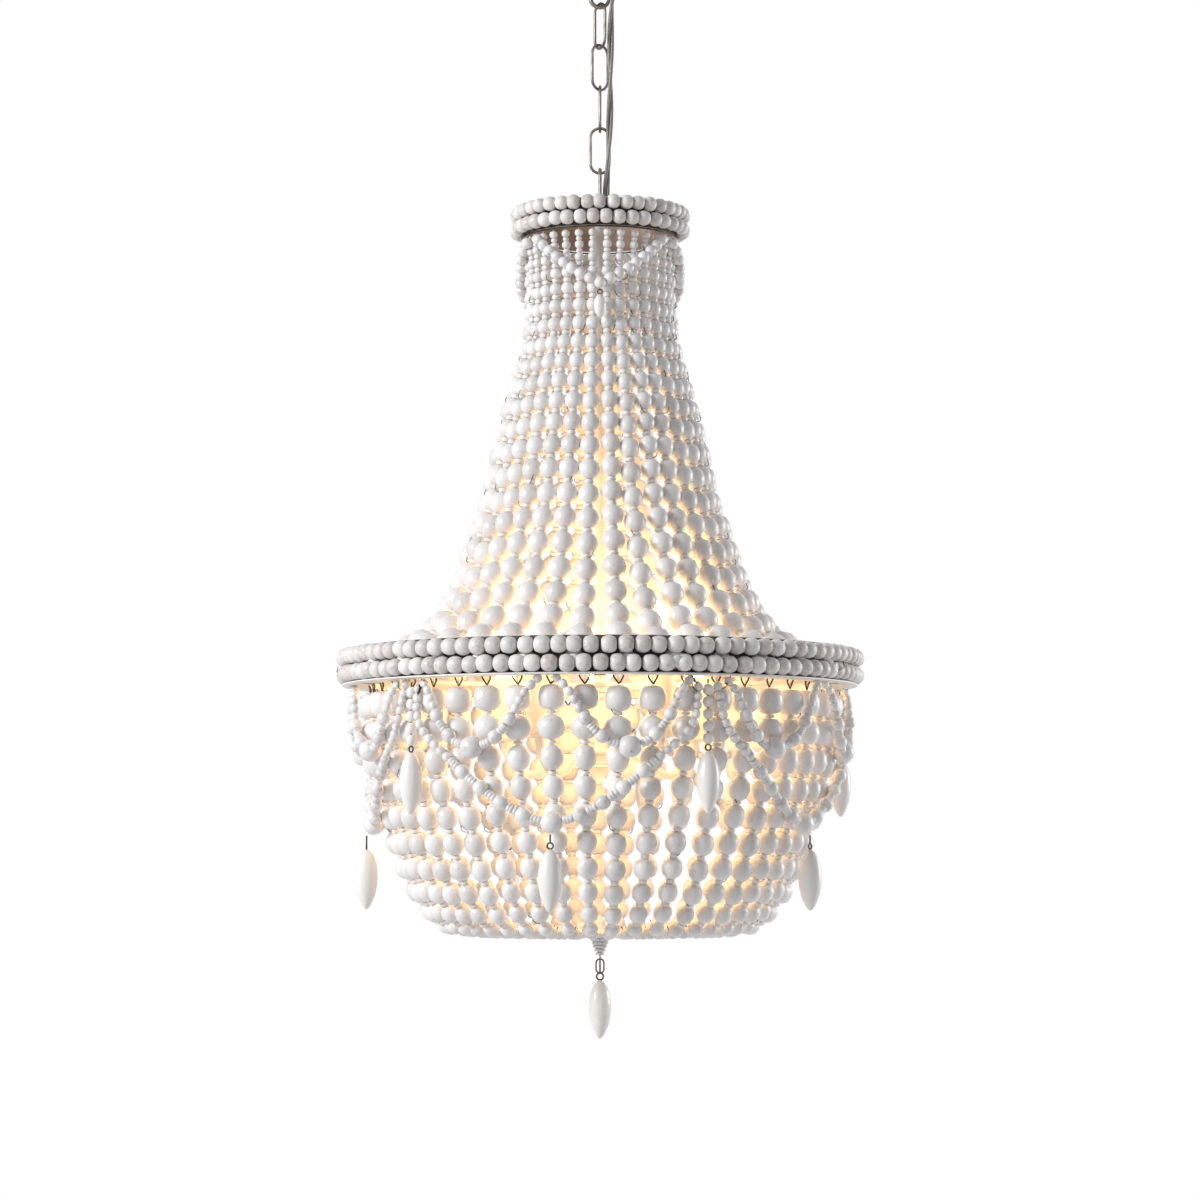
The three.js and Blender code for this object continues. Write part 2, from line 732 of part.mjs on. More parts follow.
// Jump ring that faces out, its top wire's middle at a height.
function jumpRing(top, radius = jumpRingRadius) {
  const ring = new THREE.TorusGeometry(radius, jumpRingWire / 2, strandSides, jumpRingSteps);
  return ring.rotateX(Math.PI / 2).translate(0, 0, top - radius);
}

// A jump ring with a spindle under it, from the top of the ring's wire.
function ringDrop(top, length, diameter) {
  const wireTop = top - jumpRingWire / 2;
  const spindleTop = wireTop - 2 * jumpRingRadius;
  return joined(jumpRing(wireTop), spindle(length, diameter, spindleTop));
}

// The drop under a swag's crest: hook, short string of beads, jump ring and spindle.
function crestDrop(top) {
  const stringTop = top - crestHookLength;
  const stringEnd = stringTop - crestStringLength;
  const beadPitch = crestStringLength / crestBeadCount;
  const waistRadius = (crestBeadDiameter * waistShare) / 2;
  const points = [new THREE.Vector3(0, 0, top), new THREE.Vector3(0, 0, stringTop)];
  const radii = [threadRadius, threadRadius];
  for (let i = 0; i < crestBeadCount; i += 1) {
    points.push(new THREE.Vector3(0, 0, stringTop - beadPitch * (i + 1 / 2)));
    radii.push(crestBeadDiameter / 2);
    points.push(new THREE.Vector3(0, 0, stringTop - beadPitch * (i + 1)));
    radii.push(i === crestBeadCount - 1 ? threadRadius : waistRadius);
  }
  const string = stringSkin(points, radii, strandSides, () => outward(0), false);
  return joined(string, ringDrop(stringEnd + jumpRingWire, spindleLength, spindleDiameter));
}

// The drop under a long swag's low bead: a short wire, a jump ring and a spindle.
function lowPendant(top) {
  const wireEnd = top - pendantWireLength;
  const wire = rod(threadRadius, wireEnd - jumpRingWire / 2, top, strandSides);
  return joined(wire, ringDrop(wireEnd, spindleLength, spindleDiameter));
}

function gatherCone() {
  const gatherBottom = gatherTop - gatherThickness;
  const coneBottom = gatherBottom - coneHeight;
  const eyeTop = coneBottom + jumpRingWire / 2;
  const cone = turned([
    [0, coneBottom],
    [coneTipRadius, coneBottom],
    [coneRadius, gatherBottom],
    [gatherRadius, gatherBottom],
    [gatherRadius, gatherTop],
    [0, gatherTop],
  ]);
  return joined(cone, jumpRing(eyeTop, eyeRadius).rotateZ(Math.PI / 2));
}

function lampArm(degrees) {
  const start = lampHubRadius + clearance;
  const reach = lampCircleRadius - start;
  const outShares = [0, 0.2, 0.5, 0.8, 1, 1];
  const sagShares = [0, 0, 1, 0.8, 0, 0];
  const riseShares = [0, 0, 0, 0, 0.55, 1];
  const points = outShares.map(
    (share, i) =>
      new THREE.Vector3(
        start + share * reach,
        0,
        armHeight - sagShares[i] * armSag + riseShares[i] * (armRise - panThickness / 2),
      ),
  );
  const curve = new THREE.CatmullRomCurve3(points);
  const path = curve.getSpacedPoints(armSteps);
  const radii = path.map(() => armRadius);
  const level = new THREE.Vector3(0, 1, 0);
  const tube = stringSkin(path, radii, wireSides, () => level, false);
  const pan = rod(panRadius, panTop - panThickness, panTop, lampSegments).translate(lampCircleRadius, 0, 0);
  return joined(tube, pan).rotateZ(radians(degrees - 90));
}

function candleSleeve() {
  const profile = [
    [0, sleeveBottom],
    [sleeveRadius, sleeveBottom],
    [sleeveRadius, sleeveTop],
    [socketRadius, sleeveTop],
    [socketRadius, sleeveTop - socketDepth],
    [0, sleeveTop - socketDepth],
  ];
  return turned(profile, lampSegments);
}

function bulb() {
  const capRadius = socketRadius - clearance;
  const capBottom = sleeveTop - socketDepth + clearance;
  const glassShares = [0, 0.14, 0.34, 0.58, 0.8, 0.94, 1];
  const widthShares = [0.44, 0.82, 1, 0.78, 0.4, 0.14, 0];
  const profile = [[0, capBottom], [capRadius, capBottom]];
  glassShares.forEach((share, i) => {
    profile.push([widthShares[i] * bulbRadius, sleeveTop + share * bulbHeight]);
  });
  return turned(profile, lampSegments);
}

add("ceiling_bracket", ceilingBracket(), finishes.nickel);
add("canopy", canopy(), finishes.paintedWhite);
add("canopy_screw_left", canopyScrew(-1), finishes.nickel);
add("canopy_screw_right", canopyScrew(1), finishes.nickel);
add("canopy_loop", canopyLoop(), finishes.nickel);
linkTurnsDegrees.forEach((turn, i) => {
  const link = ovalWire(linkLength, linkWidth, linkWire, firstLinkTop - i * linkPitch, turn);
  add("chain_link_" + (i + 1), link, finishes.nickel);
});
add("power_cord", powerCord(), finishes.clearCord);
add("stem_loop", stemLoop(), finishes.nickel);
add("stem", stem(), finishes.paintedWhite);

const crownRows = [crownBeadDiameter / 2, (crownBeadDiameter * 3) / 2 - clearance];
add("crown_ring", crownRing(), finishes.paintedWhite);
["crown_beads_top", "crown_beads_bottom"].forEach((name, i) => {
  const row = beadRow(crownHoopRadius, crownBeadDiameter, crownBeadCount, crownTop - crownRows[i], i / 2);
  add(name, row, finishes.ringBead);
});
add("body_ring", bodyRing(), finishes.paintedWhite);
["body_beads_bottom", "body_beads_top"].forEach((name, i) => {
  const lift = flangeThickness + clearance + bodyBeadDiameter / 2 + i * (bodyBeadDiameter + clearance);
  const row = beadRow(bodyHoopRadius, bodyBeadDiameter, bodyBeadCount, bodyBottom + lift, i / 2);
  add(name, row, finishes.ringBead);
});

const lampHub = turnedRing(
  stemRadius + clearance, lampHubRadius, lampHubBottom, lampHubTop, 4 * lampCount,
);
add("lamp_hub", lampHub, finishes.paintedWhite);
for (let i = 0; i < lampCount; i += 1) {
  const degrees = (360 * i) / lampCount + 180 / lampCount;
  const seat = place(lampCircleRadius, degrees, 0);
  add("lamp_arm_" + (i + 1), lampArm(degrees), finishes.paintedWhite);
  add("candle_sleeve_" + (i + 1), candleSleeve(), finishes.sleeve).position.copy(seat);
  add("bulb_" + (i + 1), bulb(), finishes.bulbGlass).position.copy(seat);
}

strandSet(
  "upper_strands", upperStrandCount, upperStrandPhaseDegrees, upperOutline, upperRadii,
  upperStart, upperTop,
);
strandSet(
  "lower_strands", lowerStrandCount, crestDegrees + lowerPitchDegrees / 2, lowerOutline, lowerRadii,
  gatherTie, lowerFoot,
);
add("crown_garland", garland(crownGarland), finishes.swagBead);
add("short_garland", garland(shortGarland), finishes.swagBead);
add("long_garland", garland(longGarland), finishes.swagBead);

// Places copies of a drop round the axis, each facing out, its top on the axis of its own frame.
function dropsRound(name, geometry, count, firstDegrees, radius) {
  for (let i = 0; i < count; i += 1) {
    const degrees = firstDegrees + (360 * i) / count;
    const drop = add(name + "_" + (i + 1), geometry, finishes.spindleWood);
    drop.position.copy(place(radius, degrees, 0));
    drop.rotation.z = radians(degrees);
  }
}

const lowPendantRadius = strandReach(lowerOutline, lowerRadii, longLow) + swagGap + lowBeadDiameter / 2;
const lowPendantTop = longLow - lowBeadDiameter / 2 - clearance;
dropsRound("crest_drop", crestDrop(hookTop), longSwagCount, crestDegrees, dropRadius);
dropsRound(
  "low_pendant", lowPendant(lowPendantTop), longSwagCount,
  crestDegrees + 180 / longSwagCount, lowPendantRadius,
);
const crownDropRadius = strandReach(upperOutline, upperRadii, crownLow) + crownSwagGap + crownGarlandRadius;
const crownDropTop = crownLow - crownGarlandRadius - clearance;
dropsRound(
  "crown_drop", ringDrop(crownDropTop, crownSpindleLength, crownSpindleDiameter), crownSwagCount,
  crownCrestDegrees + 180 / crownSwagCount, crownDropRadius,
);

// The finial hangs in the gather cone's eye by two jump rings, one across the other.
function finialPendant() {
  const coneBottom = gatherTop - gatherThickness - coneHeight;
  const eyeBottom = coneBottom + jumpRingWire / 2 - 2 * eyeRadius;
  const ringTop = eyeBottom + jumpRingWire + clearance;
  const lowerTop = ringTop - 2 * finialRingRadius + jumpRingWire / 2;
  const lower = ringDrop(lowerTop, finialSpindleLength, finialSpindleDiameter).rotateZ(Math.PI / 2);
  return joined(jumpRing(ringTop, finialRingRadius), lower);
}

add("gather_cone", gatherCone(), finishes.paintedWhite);
add("finial_pendant", finialPendant(), finishes.spindleWood);

export default chandelier;
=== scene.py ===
"""Beaded basket chandelier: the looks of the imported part, in metres and in the part's own frame.

Angles go round +Z from the front, -Y, towards +X, as they do in the part's source.
"""

import bisect
import json
import logging
import math
import random
from dataclasses import dataclass
from enum import Enum

import bmesh
import bpy
from mathutils import Matrix, Vector
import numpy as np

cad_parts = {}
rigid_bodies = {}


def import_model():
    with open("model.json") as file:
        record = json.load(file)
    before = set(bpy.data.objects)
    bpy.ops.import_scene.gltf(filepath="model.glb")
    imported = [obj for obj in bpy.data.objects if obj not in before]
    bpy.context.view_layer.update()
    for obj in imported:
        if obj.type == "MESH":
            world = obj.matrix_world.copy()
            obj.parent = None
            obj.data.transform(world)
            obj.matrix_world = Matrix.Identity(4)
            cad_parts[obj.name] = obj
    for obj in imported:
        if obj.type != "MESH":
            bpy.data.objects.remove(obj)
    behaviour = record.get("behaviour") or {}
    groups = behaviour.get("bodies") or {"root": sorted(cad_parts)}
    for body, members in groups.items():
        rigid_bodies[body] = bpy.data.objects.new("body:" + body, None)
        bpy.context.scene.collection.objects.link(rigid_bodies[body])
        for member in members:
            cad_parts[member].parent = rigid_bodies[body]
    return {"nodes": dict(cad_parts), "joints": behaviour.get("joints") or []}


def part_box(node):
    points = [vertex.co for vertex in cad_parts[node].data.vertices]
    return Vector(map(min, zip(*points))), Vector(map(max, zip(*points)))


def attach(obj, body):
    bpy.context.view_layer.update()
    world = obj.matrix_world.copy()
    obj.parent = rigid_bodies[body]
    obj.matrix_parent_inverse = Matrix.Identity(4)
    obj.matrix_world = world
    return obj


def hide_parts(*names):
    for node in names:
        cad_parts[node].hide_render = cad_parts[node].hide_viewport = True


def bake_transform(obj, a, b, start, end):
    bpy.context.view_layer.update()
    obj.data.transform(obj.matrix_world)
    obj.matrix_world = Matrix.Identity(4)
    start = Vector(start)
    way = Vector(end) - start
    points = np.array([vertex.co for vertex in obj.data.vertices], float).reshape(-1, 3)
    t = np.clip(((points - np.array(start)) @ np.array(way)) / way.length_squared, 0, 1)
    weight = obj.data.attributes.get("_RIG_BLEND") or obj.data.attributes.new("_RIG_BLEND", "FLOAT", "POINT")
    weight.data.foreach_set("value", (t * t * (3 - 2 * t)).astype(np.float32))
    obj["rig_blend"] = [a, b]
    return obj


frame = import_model()

log = logging.getLogger("chandelier")

Colour = tuple[float, float, float, float]
Pair = tuple[float, float]
Triple = tuple[float, float, float]

UP = Vector((0.0, 0.0, 1.0))
FRONT = Vector((0.0, -1.0, 0.0))
SIDE = Vector((1.0, 0.0, 0.0))
WHITE = (1.0, 1.0, 1.0, 1.0)
CHANCE = random.Random(7)
SHARP_EDGE_DEGREES = 50.0
BODY = "fixture"
CHAIN_BODIES = ("link_1", "link_2", "link_3", "link_4", BODY)

# Room between two pieces that fit into each other.
CLEARANCE = 0.0003
# How far the crown's visible hoop sits above its CAD node, as the photograph has it.
CROWN_RISE = 0.0065
# Where the first crest of the body's swags is, from the front.
CREST_DEGREES = -47.5
# How far one row of swags hooks outside the next, and a swag's hook under its node's top.
SWAG_STEP, SWAG_LOW = 0.0026, 0.001

# A spindle from its top to its tip: share of the length, share of the width.
SPINDLE_SHARES = (
    (0.0, 0.0), (0.015, 0.22), (0.05, 0.42), (0.12, 0.65), (0.22, 0.86), (0.34, 0.97), (0.46, 1.0),
    (0.6, 0.97), (0.74, 0.82), (0.86, 0.58), (0.94, 0.36), (0.985, 0.17), (1.0, 0.0),
)
# A candle bulb from its cap to its tip: share of the height, share of the radius.
BULB_SHARES = (
    (0.0, 0.44), (0.05, 0.6), (0.14, 0.83), (0.24, 0.96), (0.34, 1.0), (0.46, 0.92), (0.58, 0.77),
    (0.7, 0.58), (0.8, 0.42), (0.9, 0.25), (0.97, 0.1), (1.0, 0.0),
)
# A lamp arm from the hub to its pan: shares of its reach, its sag and its rise.
ARM_SHARES = (
    (0.0, 0.0, 0.0), (0.2, 0.0, 0.0), (0.5, 1.0, 0.0), (0.8, 0.8, 0.0), (1.0, 0.0, 0.55),
    (1.0, 0.0, 1.0),
)
# Half a V hook from its foot up: shares of its spread and its height, and metres outwards.
HOOK_SHARES = ((0.0, 0.0, 0.0), (0.25, 0.2, 0.0), (0.9, 0.75, 0.0), (1.0, 1.05, 0.001))
# A cut wire end as shares of its size: sideways, outwards and up.
WIRE_END_SHARES = ((0.0, 0.0, 0.0), (0.3, 0.5, -0.1), (0.7, 0.75, 0.15), (0.85, 0.6, 0.7))


def outward(degrees: float) -> Vector:
    """Returns the unit vector that points out from the axis at an angle from the front."""
    return Vector((math.sin(math.radians(degrees)), -math.cos(math.radians(degrees)), 0.0))


def place(radius: float, degrees: float, height: float) -> Vector:
    """Returns the place at a radius, an angle from the front and a height."""
    return outward(degrees) * radius + UP * height


def between(xs: list[float], ys: list[float], x: float) -> float:
    """Reads a table at x, straight from one entry to the next.

    Args:
        xs: Rising places of the entries.
        ys: Values of the entries.
        x: The place to read.

    Returns:
        The value there, held at the table's ends.
    """
    if x <= xs[0]:
        return ys[0]
    if x >= xs[-1]:
        return ys[-1]
    i = bisect.bisect_right(xs, x)
    share = (x - xs[i - 1]) / (xs[i] - xs[i - 1])
    return ys[i - 1] + share * (ys[i] - ys[i - 1])


def part_way(ends: Pair, share: float) -> float:
    """Returns the value a share of the way from the first to the second."""
    return ends[0] + share * (ends[1] - ends[0])


def round_half_up(value: float) -> int:
    """Rounds to the nearest whole number, halves upwards."""
    return math.floor(value + 0.5)


def quarter_turn(steps: int) -> list[Pair]:
    """Returns the sine and cosine of each step of a quarter turn."""
    turns = [math.pi / 2 * i / steps for i in range(steps + 1)]
    return [(math.sin(turn), math.cos(turn)) for turn in turns]


def chance_tilt(most: float) -> Matrix:
    """Returns a tilt about X by chance, up to so many degrees either way."""
    return Matrix.Rotation(math.radians(CHANCE.uniform(-most, most)), 4, "X")


def chance_roll() -> Matrix:
    """Returns a roll about Z by chance."""
    return Matrix.Rotation(CHANCE.uniform(0, math.pi), 4, "Z")


def placed(name: str, data: bpy.types.ID) -> bpy.types.Object:
    """Adds an object with this data to the scene."""
    made = bpy.data.objects.new(name, data)
    bpy.context.scene.collection.objects.link(made)
    return made


def lowest(node: str) -> float:
    """Returns the height of a CAD node's lowest point."""
    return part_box(node)[0][2]


def highest(node: str) -> float:
    """Returns the height of a CAD node's highest point."""
    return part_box(node)[1][2]


class Sock:
    """A value in a shader. Arithmetic on it adds Math nodes, with a number on either side."""

    def __init__(self, shader: "Shader", socket: bpy.types.NodeSocket) -> None:
        """Wraps an output socket of a shader."""
        self.shader = shader
        self.socket = socket

    def _math(self, operation: str, first: "Sock | float", second: "Sock | float") -> "Sock":
        """Adds one Math node and returns its result."""
        return self.shader.node("ShaderNodeMath", {"operation": operation}, {0: first, 1: second})

    def __add__(self, other: "Sock | float") -> "Sock":
        """Returns self + other."""
        return self._math("ADD", self, other)

    def __radd__(self, other: float) -> "Sock":
        """Returns other + self."""
        return self._math("ADD", other, self)

    def __sub__(self, other: "Sock | float") -> "Sock":
        """Returns self - other."""
        return self._math("SUBTRACT", self, other)

    def __rsub__(self, other: float) -> "Sock":
        """Returns other - self."""
        return self._math("SUBTRACT", other, self)

    def __mul__(self, other: "Sock | float") -> "Sock":
        """Returns self * other."""
        return self._math("MULTIPLY", self, other)

    def __rmul__(self, other: float) -> "Sock":
        """Returns other * self."""
        return self._math("MULTIPLY", other, self)

    def __truediv__(self, other: "Sock | float") -> "Sock":
        """Returns self / other."""
        return self._math("DIVIDE", self, other)

    def __rtruediv__(self, other: float) -> "Sock":
        """Returns other / self."""
        return self._math("DIVIDE", other, self)

    def most(self, other: "Sock | float") -> "Sock":
        """Returns the larger of self and other."""
        return self._math("MAXIMUM", self, other)


class Shader:
    """The nodes of a material or a world in the making."""

    def __init__(self, owner: bpy.types.Material | bpy.types.World) -> None:
        """Starts with no nodes."""
        self.owner = owner
        owner.use_nodes = True
        self.tree = owner.node_tree
        self.tree.nodes.clear()

    def node(
        self,
        kind: str,
        settings: dict[str, object] | None = None,
        inputs: dict[int | str, object] | None = None,
        output: int | str = 0,
    ) -> Sock:
        """Adds a node.

        Args:
            kind: The node's type.
            settings: Its settings, set first.
            inputs: Values or sockets for its inputs, by index or name.
            output: Which output to return.

        Returns:
            The chosen output.
        """
        made = self.tree.nodes.new(kind)
        for key, value in (settings or {}).items():
            setattr(made, key, value)
        for key, value in (inputs or {}).items():
            if isinstance(value, Sock):
                self.tree.links.new(value.socket, made.inputs[key])
            else:
                made.inputs[key].default_value = value
        return Sock(self, made.outputs[output])

    def attribute(self, name: str, output: str) -> Sock:
        """Returns a mesh attribute, as "Fac" or "Vector"."""
        return self.node("ShaderNodeAttribute", {"attribute_name": name}, output=output)

    def objects(self) -> Sock:
        """Returns the place on the object."""
        return self.node("ShaderNodeTexCoord", output="Object")

    def stretched(self, place_on: Sock, tall: float) -> Sock:
        """Returns a place scaled along Z."""
        inputs = {0: place_on, 1: (1.0, 1.0, tall)}
        return self.node("ShaderNodeVectorMath", {"operation": "MULTIPLY"}, inputs)

    def noise(self, place_on: Sock, scale: float, detail: float = 2.0, rough: float = 0.5) -> Sock:
        """Returns soft noise from 0 to 1.

        Args:
            place_on: The place that the noise follows.
            scale: Waves for each metre.
            detail: Octaves.
            rough: How strong the finer octaves are.

        Returns:
            The noise.
        """
        inputs = {"Vector": place_on, "Scale": scale, "Detail": detail, "Roughness": rough}
        return self.node("ShaderNodeTexNoise", None, inputs, "Fac")

    def mix(self, factor: Sock | float, first: Sock | Colour, second: Sock | Colour) -> Sock:
        """Returns a colour between two."""
        return self.node(
            "ShaderNodeMix", {"data_type": "RGBA"}, {0: factor, 6: first, 7: second}, 2
        )

    def span(self, value: Sock, low: float, high: float) -> Sock:
        """Returns 0 at low, 1 at high, and smooth between."""
        settings = {"interpolation_type": "SMOOTHSTEP"}
        return self.node(
            "ShaderNodeMapRange", settings, {"Value": value, "From Min": low, "From Max": high}
        )

    def bump(self, height: Sock, distance: float, strength: float = 1.0) -> Sock:
        """Returns the normal of a surface raised by a height of 0 to 1 times a distance."""
        inputs = {"Height": height, "Distance": distance, "Strength": strength}
        return self.node("ShaderNodeBump", None, inputs, "Normal")

    def seen(self) -> Sock:
        """Returns 1 for camera, glossy and transmission rays, and 0 for the rays that light."""
        path = "ShaderNodeLightPath"
        camera = self.node(path, output="Is Camera Ray")
        glossy = self.node(path, output="Is Glossy Ray")
        return camera.most(glossy).most(self.node(path, output="Is Transmission Ray"))

    def surface(self, closure: Sock, output: str = "ShaderNodeOutputMaterial") -> None:
        """Sends a closure to an output node of a kind."""
        made = self.tree.nodes.new(output)
        self.tree.links.new(closure.socket, made.inputs["Surface"])

    def finish(self, inputs: dict[str, object]) -> bpy.types.Material:
        """Ends the material in a Principled surface with these inputs."""
        self.surface(self.node("ShaderNodeBsdfPrincipled", None, inputs))
        return self.owner


@dataclass(frozen=True)
class BeadFinish:
    """Whitewashed wood: a chalky wash over pale wood, thin in places, with grain along the bore."""

    name: str
    light: Colour
    shade: Colour
    bare: Colour
    bare_share: float
    mottle_scale: float = 190.0
    grain_scale: float = 900.0
    grain_stretch: float = 0.1
    fibre_wear: float = 0.35
    tone_wear: float = 0.12
    full_wash: float = 0.86
    worn_cover: float = 0.75
    speck_span: Pair = (0.72, 0.8)
    speck_cover: float = 0.35
    roughness: float = 0.38
    worn_roughness: float = 0.22
    mottle_roughness: float = 0.08
    coat: float = 0.35
    coat_roughness: float = 0.12
    relief: float = 0.00025

    def material(self) -> bpy.types.Material:
        """Makes the finish."""
        shader = Shader(bpy.data.materials.new(self.name))
        tone = shader.attribute("tone", "Fac")
        grain = shader.attribute("grain", "Vector")
        mottle = shader.noise(grain, self.mottle_scale, 3.0, 0.55)
        fibres = shader.noise(
            shader.stretched(grain, self.grain_stretch), self.grain_scale, 2.0, 0.6
        )
        specks = shader.noise(grain, self.grain_scale * 0.8, 1.0)
        wash = shader.mix(tone, self.light, self.shade)
        wear = mottle + fibres * self.fibre_wear + tone * self.tone_wear
        worn = shader.span(wear, self.full_wash - self.bare_share, 1.0)
        colour = shader.mix(worn * self.worn_cover, wash, self.bare)
        speck = shader.span(specks, *self.speck_span) * self.speck_cover
        colour = shader.mix(speck, colour, self.bare)
        rough = self.roughness + worn * self.worn_roughness + mottle * self.mottle_roughness
        return shader.finish(
            {
                "Base Color": colour,
                "Roughness": rough,
                "Coat Weight": self.coat,
                "Coat Roughness": self.coat_roughness,
                "Normal": shader.bump((fibres + mottle) * 0.5, self.relief, 0.5),
            }
        )


@dataclass(frozen=True)
class TurnedFinish:
    """Ivory turned wood with long fine grain and a satin lacquer."""

    name: str
    light: Colour
    shade: Colour
    grain_scale: float = 700.0
    grain_stretch: float = 0.06
    fibre_span: Pair = (0.35, 0.75)
    cloud_scale: float = 60.0
    roughness: float = 0.33
    cloud_roughness: float = 0.15
    coat: float = 0.3
    coat_roughness: float = 0.1
    relief: float = 0.00012

    def material(self) -> bpy.types.Material:
        """Makes the finish."""
        shader = Shader(bpy.data.materials.new(self.name))
        grain = shader.attribute("grain", "Vector")
        fibres = shader.noise(
            shader.stretched(grain, self.grain_stretch), self.grain_scale, 3.0, 0.6
        )
        clouds = shader.noise(grain, self.cloud_scale)
        colour = shader.mix(shader.span(fibres, *self.fibre_span), self.light, self.shade)
        return shader.finish(
            {
                "Base Color": colour,
                "Roughness": self.roughness + clouds * self.cloud_roughness,
                "Coat Weight": self.coat,
                "Coat Roughness": self.coat_roughness,
                "Normal": shader.bump(fibres, self.relief, 0.4),
            }
        )


@dataclass(frozen=True)
class PaintFinish:
    """Brushed satin paint on steel, a little dusty, with fine waves from the brush."""

    name: str
    light: Colour
    shade: Colour
    roughness: float = 0.42
    metallic: float = 0.0
    cloud_scale: float = 45.0
    cloud_span: Pair = (0.35, 0.7)
    cloud_roughness: float = 0.12
    wave_scale: float = 260.0
    wave_stretch: float = 4.0
    relief: float = 0.0002

    def material(self) -> bpy.types.Material:
        """Makes the finish."""
        shader = Shader(bpy.data.materials.new(self.name))
        where = shader.objects()
        clouds = shader.noise(where, self.cloud_scale, 3.0)
        waves = shader.noise(shader.stretched(where, self.wave_stretch), self.wave_scale)
        colour = shader.mix(shader.span(clouds, *self.cloud_span), self.light, self.shade)
        return shader.finish(
            {
                "Base Color": colour,
                "Metallic": self.metallic,
                "Roughness": self.roughness + clouds * self.cloud_roughness,
                "Normal": shader.bump(waves, self.relief, 0.35),
            }
        )


@dataclass(frozen=True)
class WireFinish:
    """Bare or browned metal wire, with draw marks and a faint tarnish."""

    name: str
    light: Colour
    shade: Colour
    roughness: float
    metallic: float = 1.0
    tarnish_scale: float = 120.0
    tarnish_span: Pair = (0.4, 0.75)
    tarnish_roughness: float = 0.16
    mark_scale: float = 1500.0
    mark_roughness: float = 0.05
    relief: float = 0.00006

    def material(self) -> bpy.types.Material:
        """Makes the finish."""
        shader = Shader(bpy.data.materials.new(self.name))
        where = shader.objects()
        tarnish = shader.noise(where, self.tarnish_scale, 3.0)
        marks = shader.noise(where, self.mark_scale, 1.0)
        colour = shader.mix(shader.span(tarnish, *self.tarnish_span), self.light, self.shade)
        worn = tarnish * self.tarnish_roughness + marks * self.mark_roughness
        return shader.finish(
            {
                "Base Color": colour,
                "Metallic": self.metallic,
                "Roughness": self.roughness + worn,
                "Normal": shader.bump(marks, self.relief, 0.3),
            }
        )


@dataclass(frozen=True)
class CordFinish:
    """Clear sheath over stranded tinned wire, whose lay shows as slanting bright threads."""

    name: str
    bright: Colour
    dark: Colour
    lay: float = 0.011
    threads: float = 7.0
    roughness: float = 0.5
    thread_roughness: float = 0.15
    thread_metallic: float = 0.3
    coat: float = 0.4
    coat_roughness: float = 0.1
    relief: float = 0.0002

    def material(self) -> bpy.types.Material:
        """Makes the finish."""
        shader = Shader(bpy.data.materials.new(self.name))
        turn = shader.attribute("turn", "Fac")
        along = shader.attribute("along", "Fac")
        slant = (turn + along / self.lay) * (self.threads * 2 * math.pi)
        wave = shader.node("ShaderNodeMath", {"operation": "SINE"}, {0: slant})
        strands = wave * 0.5 + 0.5
        return shader.finish(
            {
                "Base Color": shader.mix(strands, self.dark, self.bright),
                "Metallic": strands * self.thread_metallic,
                "Roughness": self.roughness - strands * self.thread_roughness,
                "Coat Weight": self.coat,
                "Coat Roughness": self.coat_roughness,
                "Normal": shader.bump(strands, self.relief, 0.6),
            }
        )


@dataclass(frozen=True)
class GlowFinish:
    """A lit lamp's glass: frosted white, brightest in its belly."""

    name: str
    glass: Colour
    glow: Colour
    dim_glow: Colour
    strength: float
    belly: float
    reach: float
    frost_scale: float = 900.0
    roughness: float = 0.25
    frost_roughness: float = 0.1

    def material(self) -> bpy.types.Material:
        """Makes the finish."""
        shader = Shader(bpy.data.materials.new(self.name))
        where = shader.objects()
        height = shader.node("ShaderNodeSeparateXYZ", None, {0: where}, "Z")
        away = shader.node("ShaderNodeMath", {"operation": "ABSOLUTE"}, {0: height - self.belly})
        frost = shader.noise(where, self.frost_scale)
        colour = shader.mix(shader.span(away, 0.0, self.reach), self.glow, self.dim_glow)
        return shader.finish(
            {
                "Base Color": self.glass,
                "Roughness": self.roughness + frost * self.frost_roughness,
                "Emission Color": colour,
                "Emission Strength": self.strength,
            }
        )


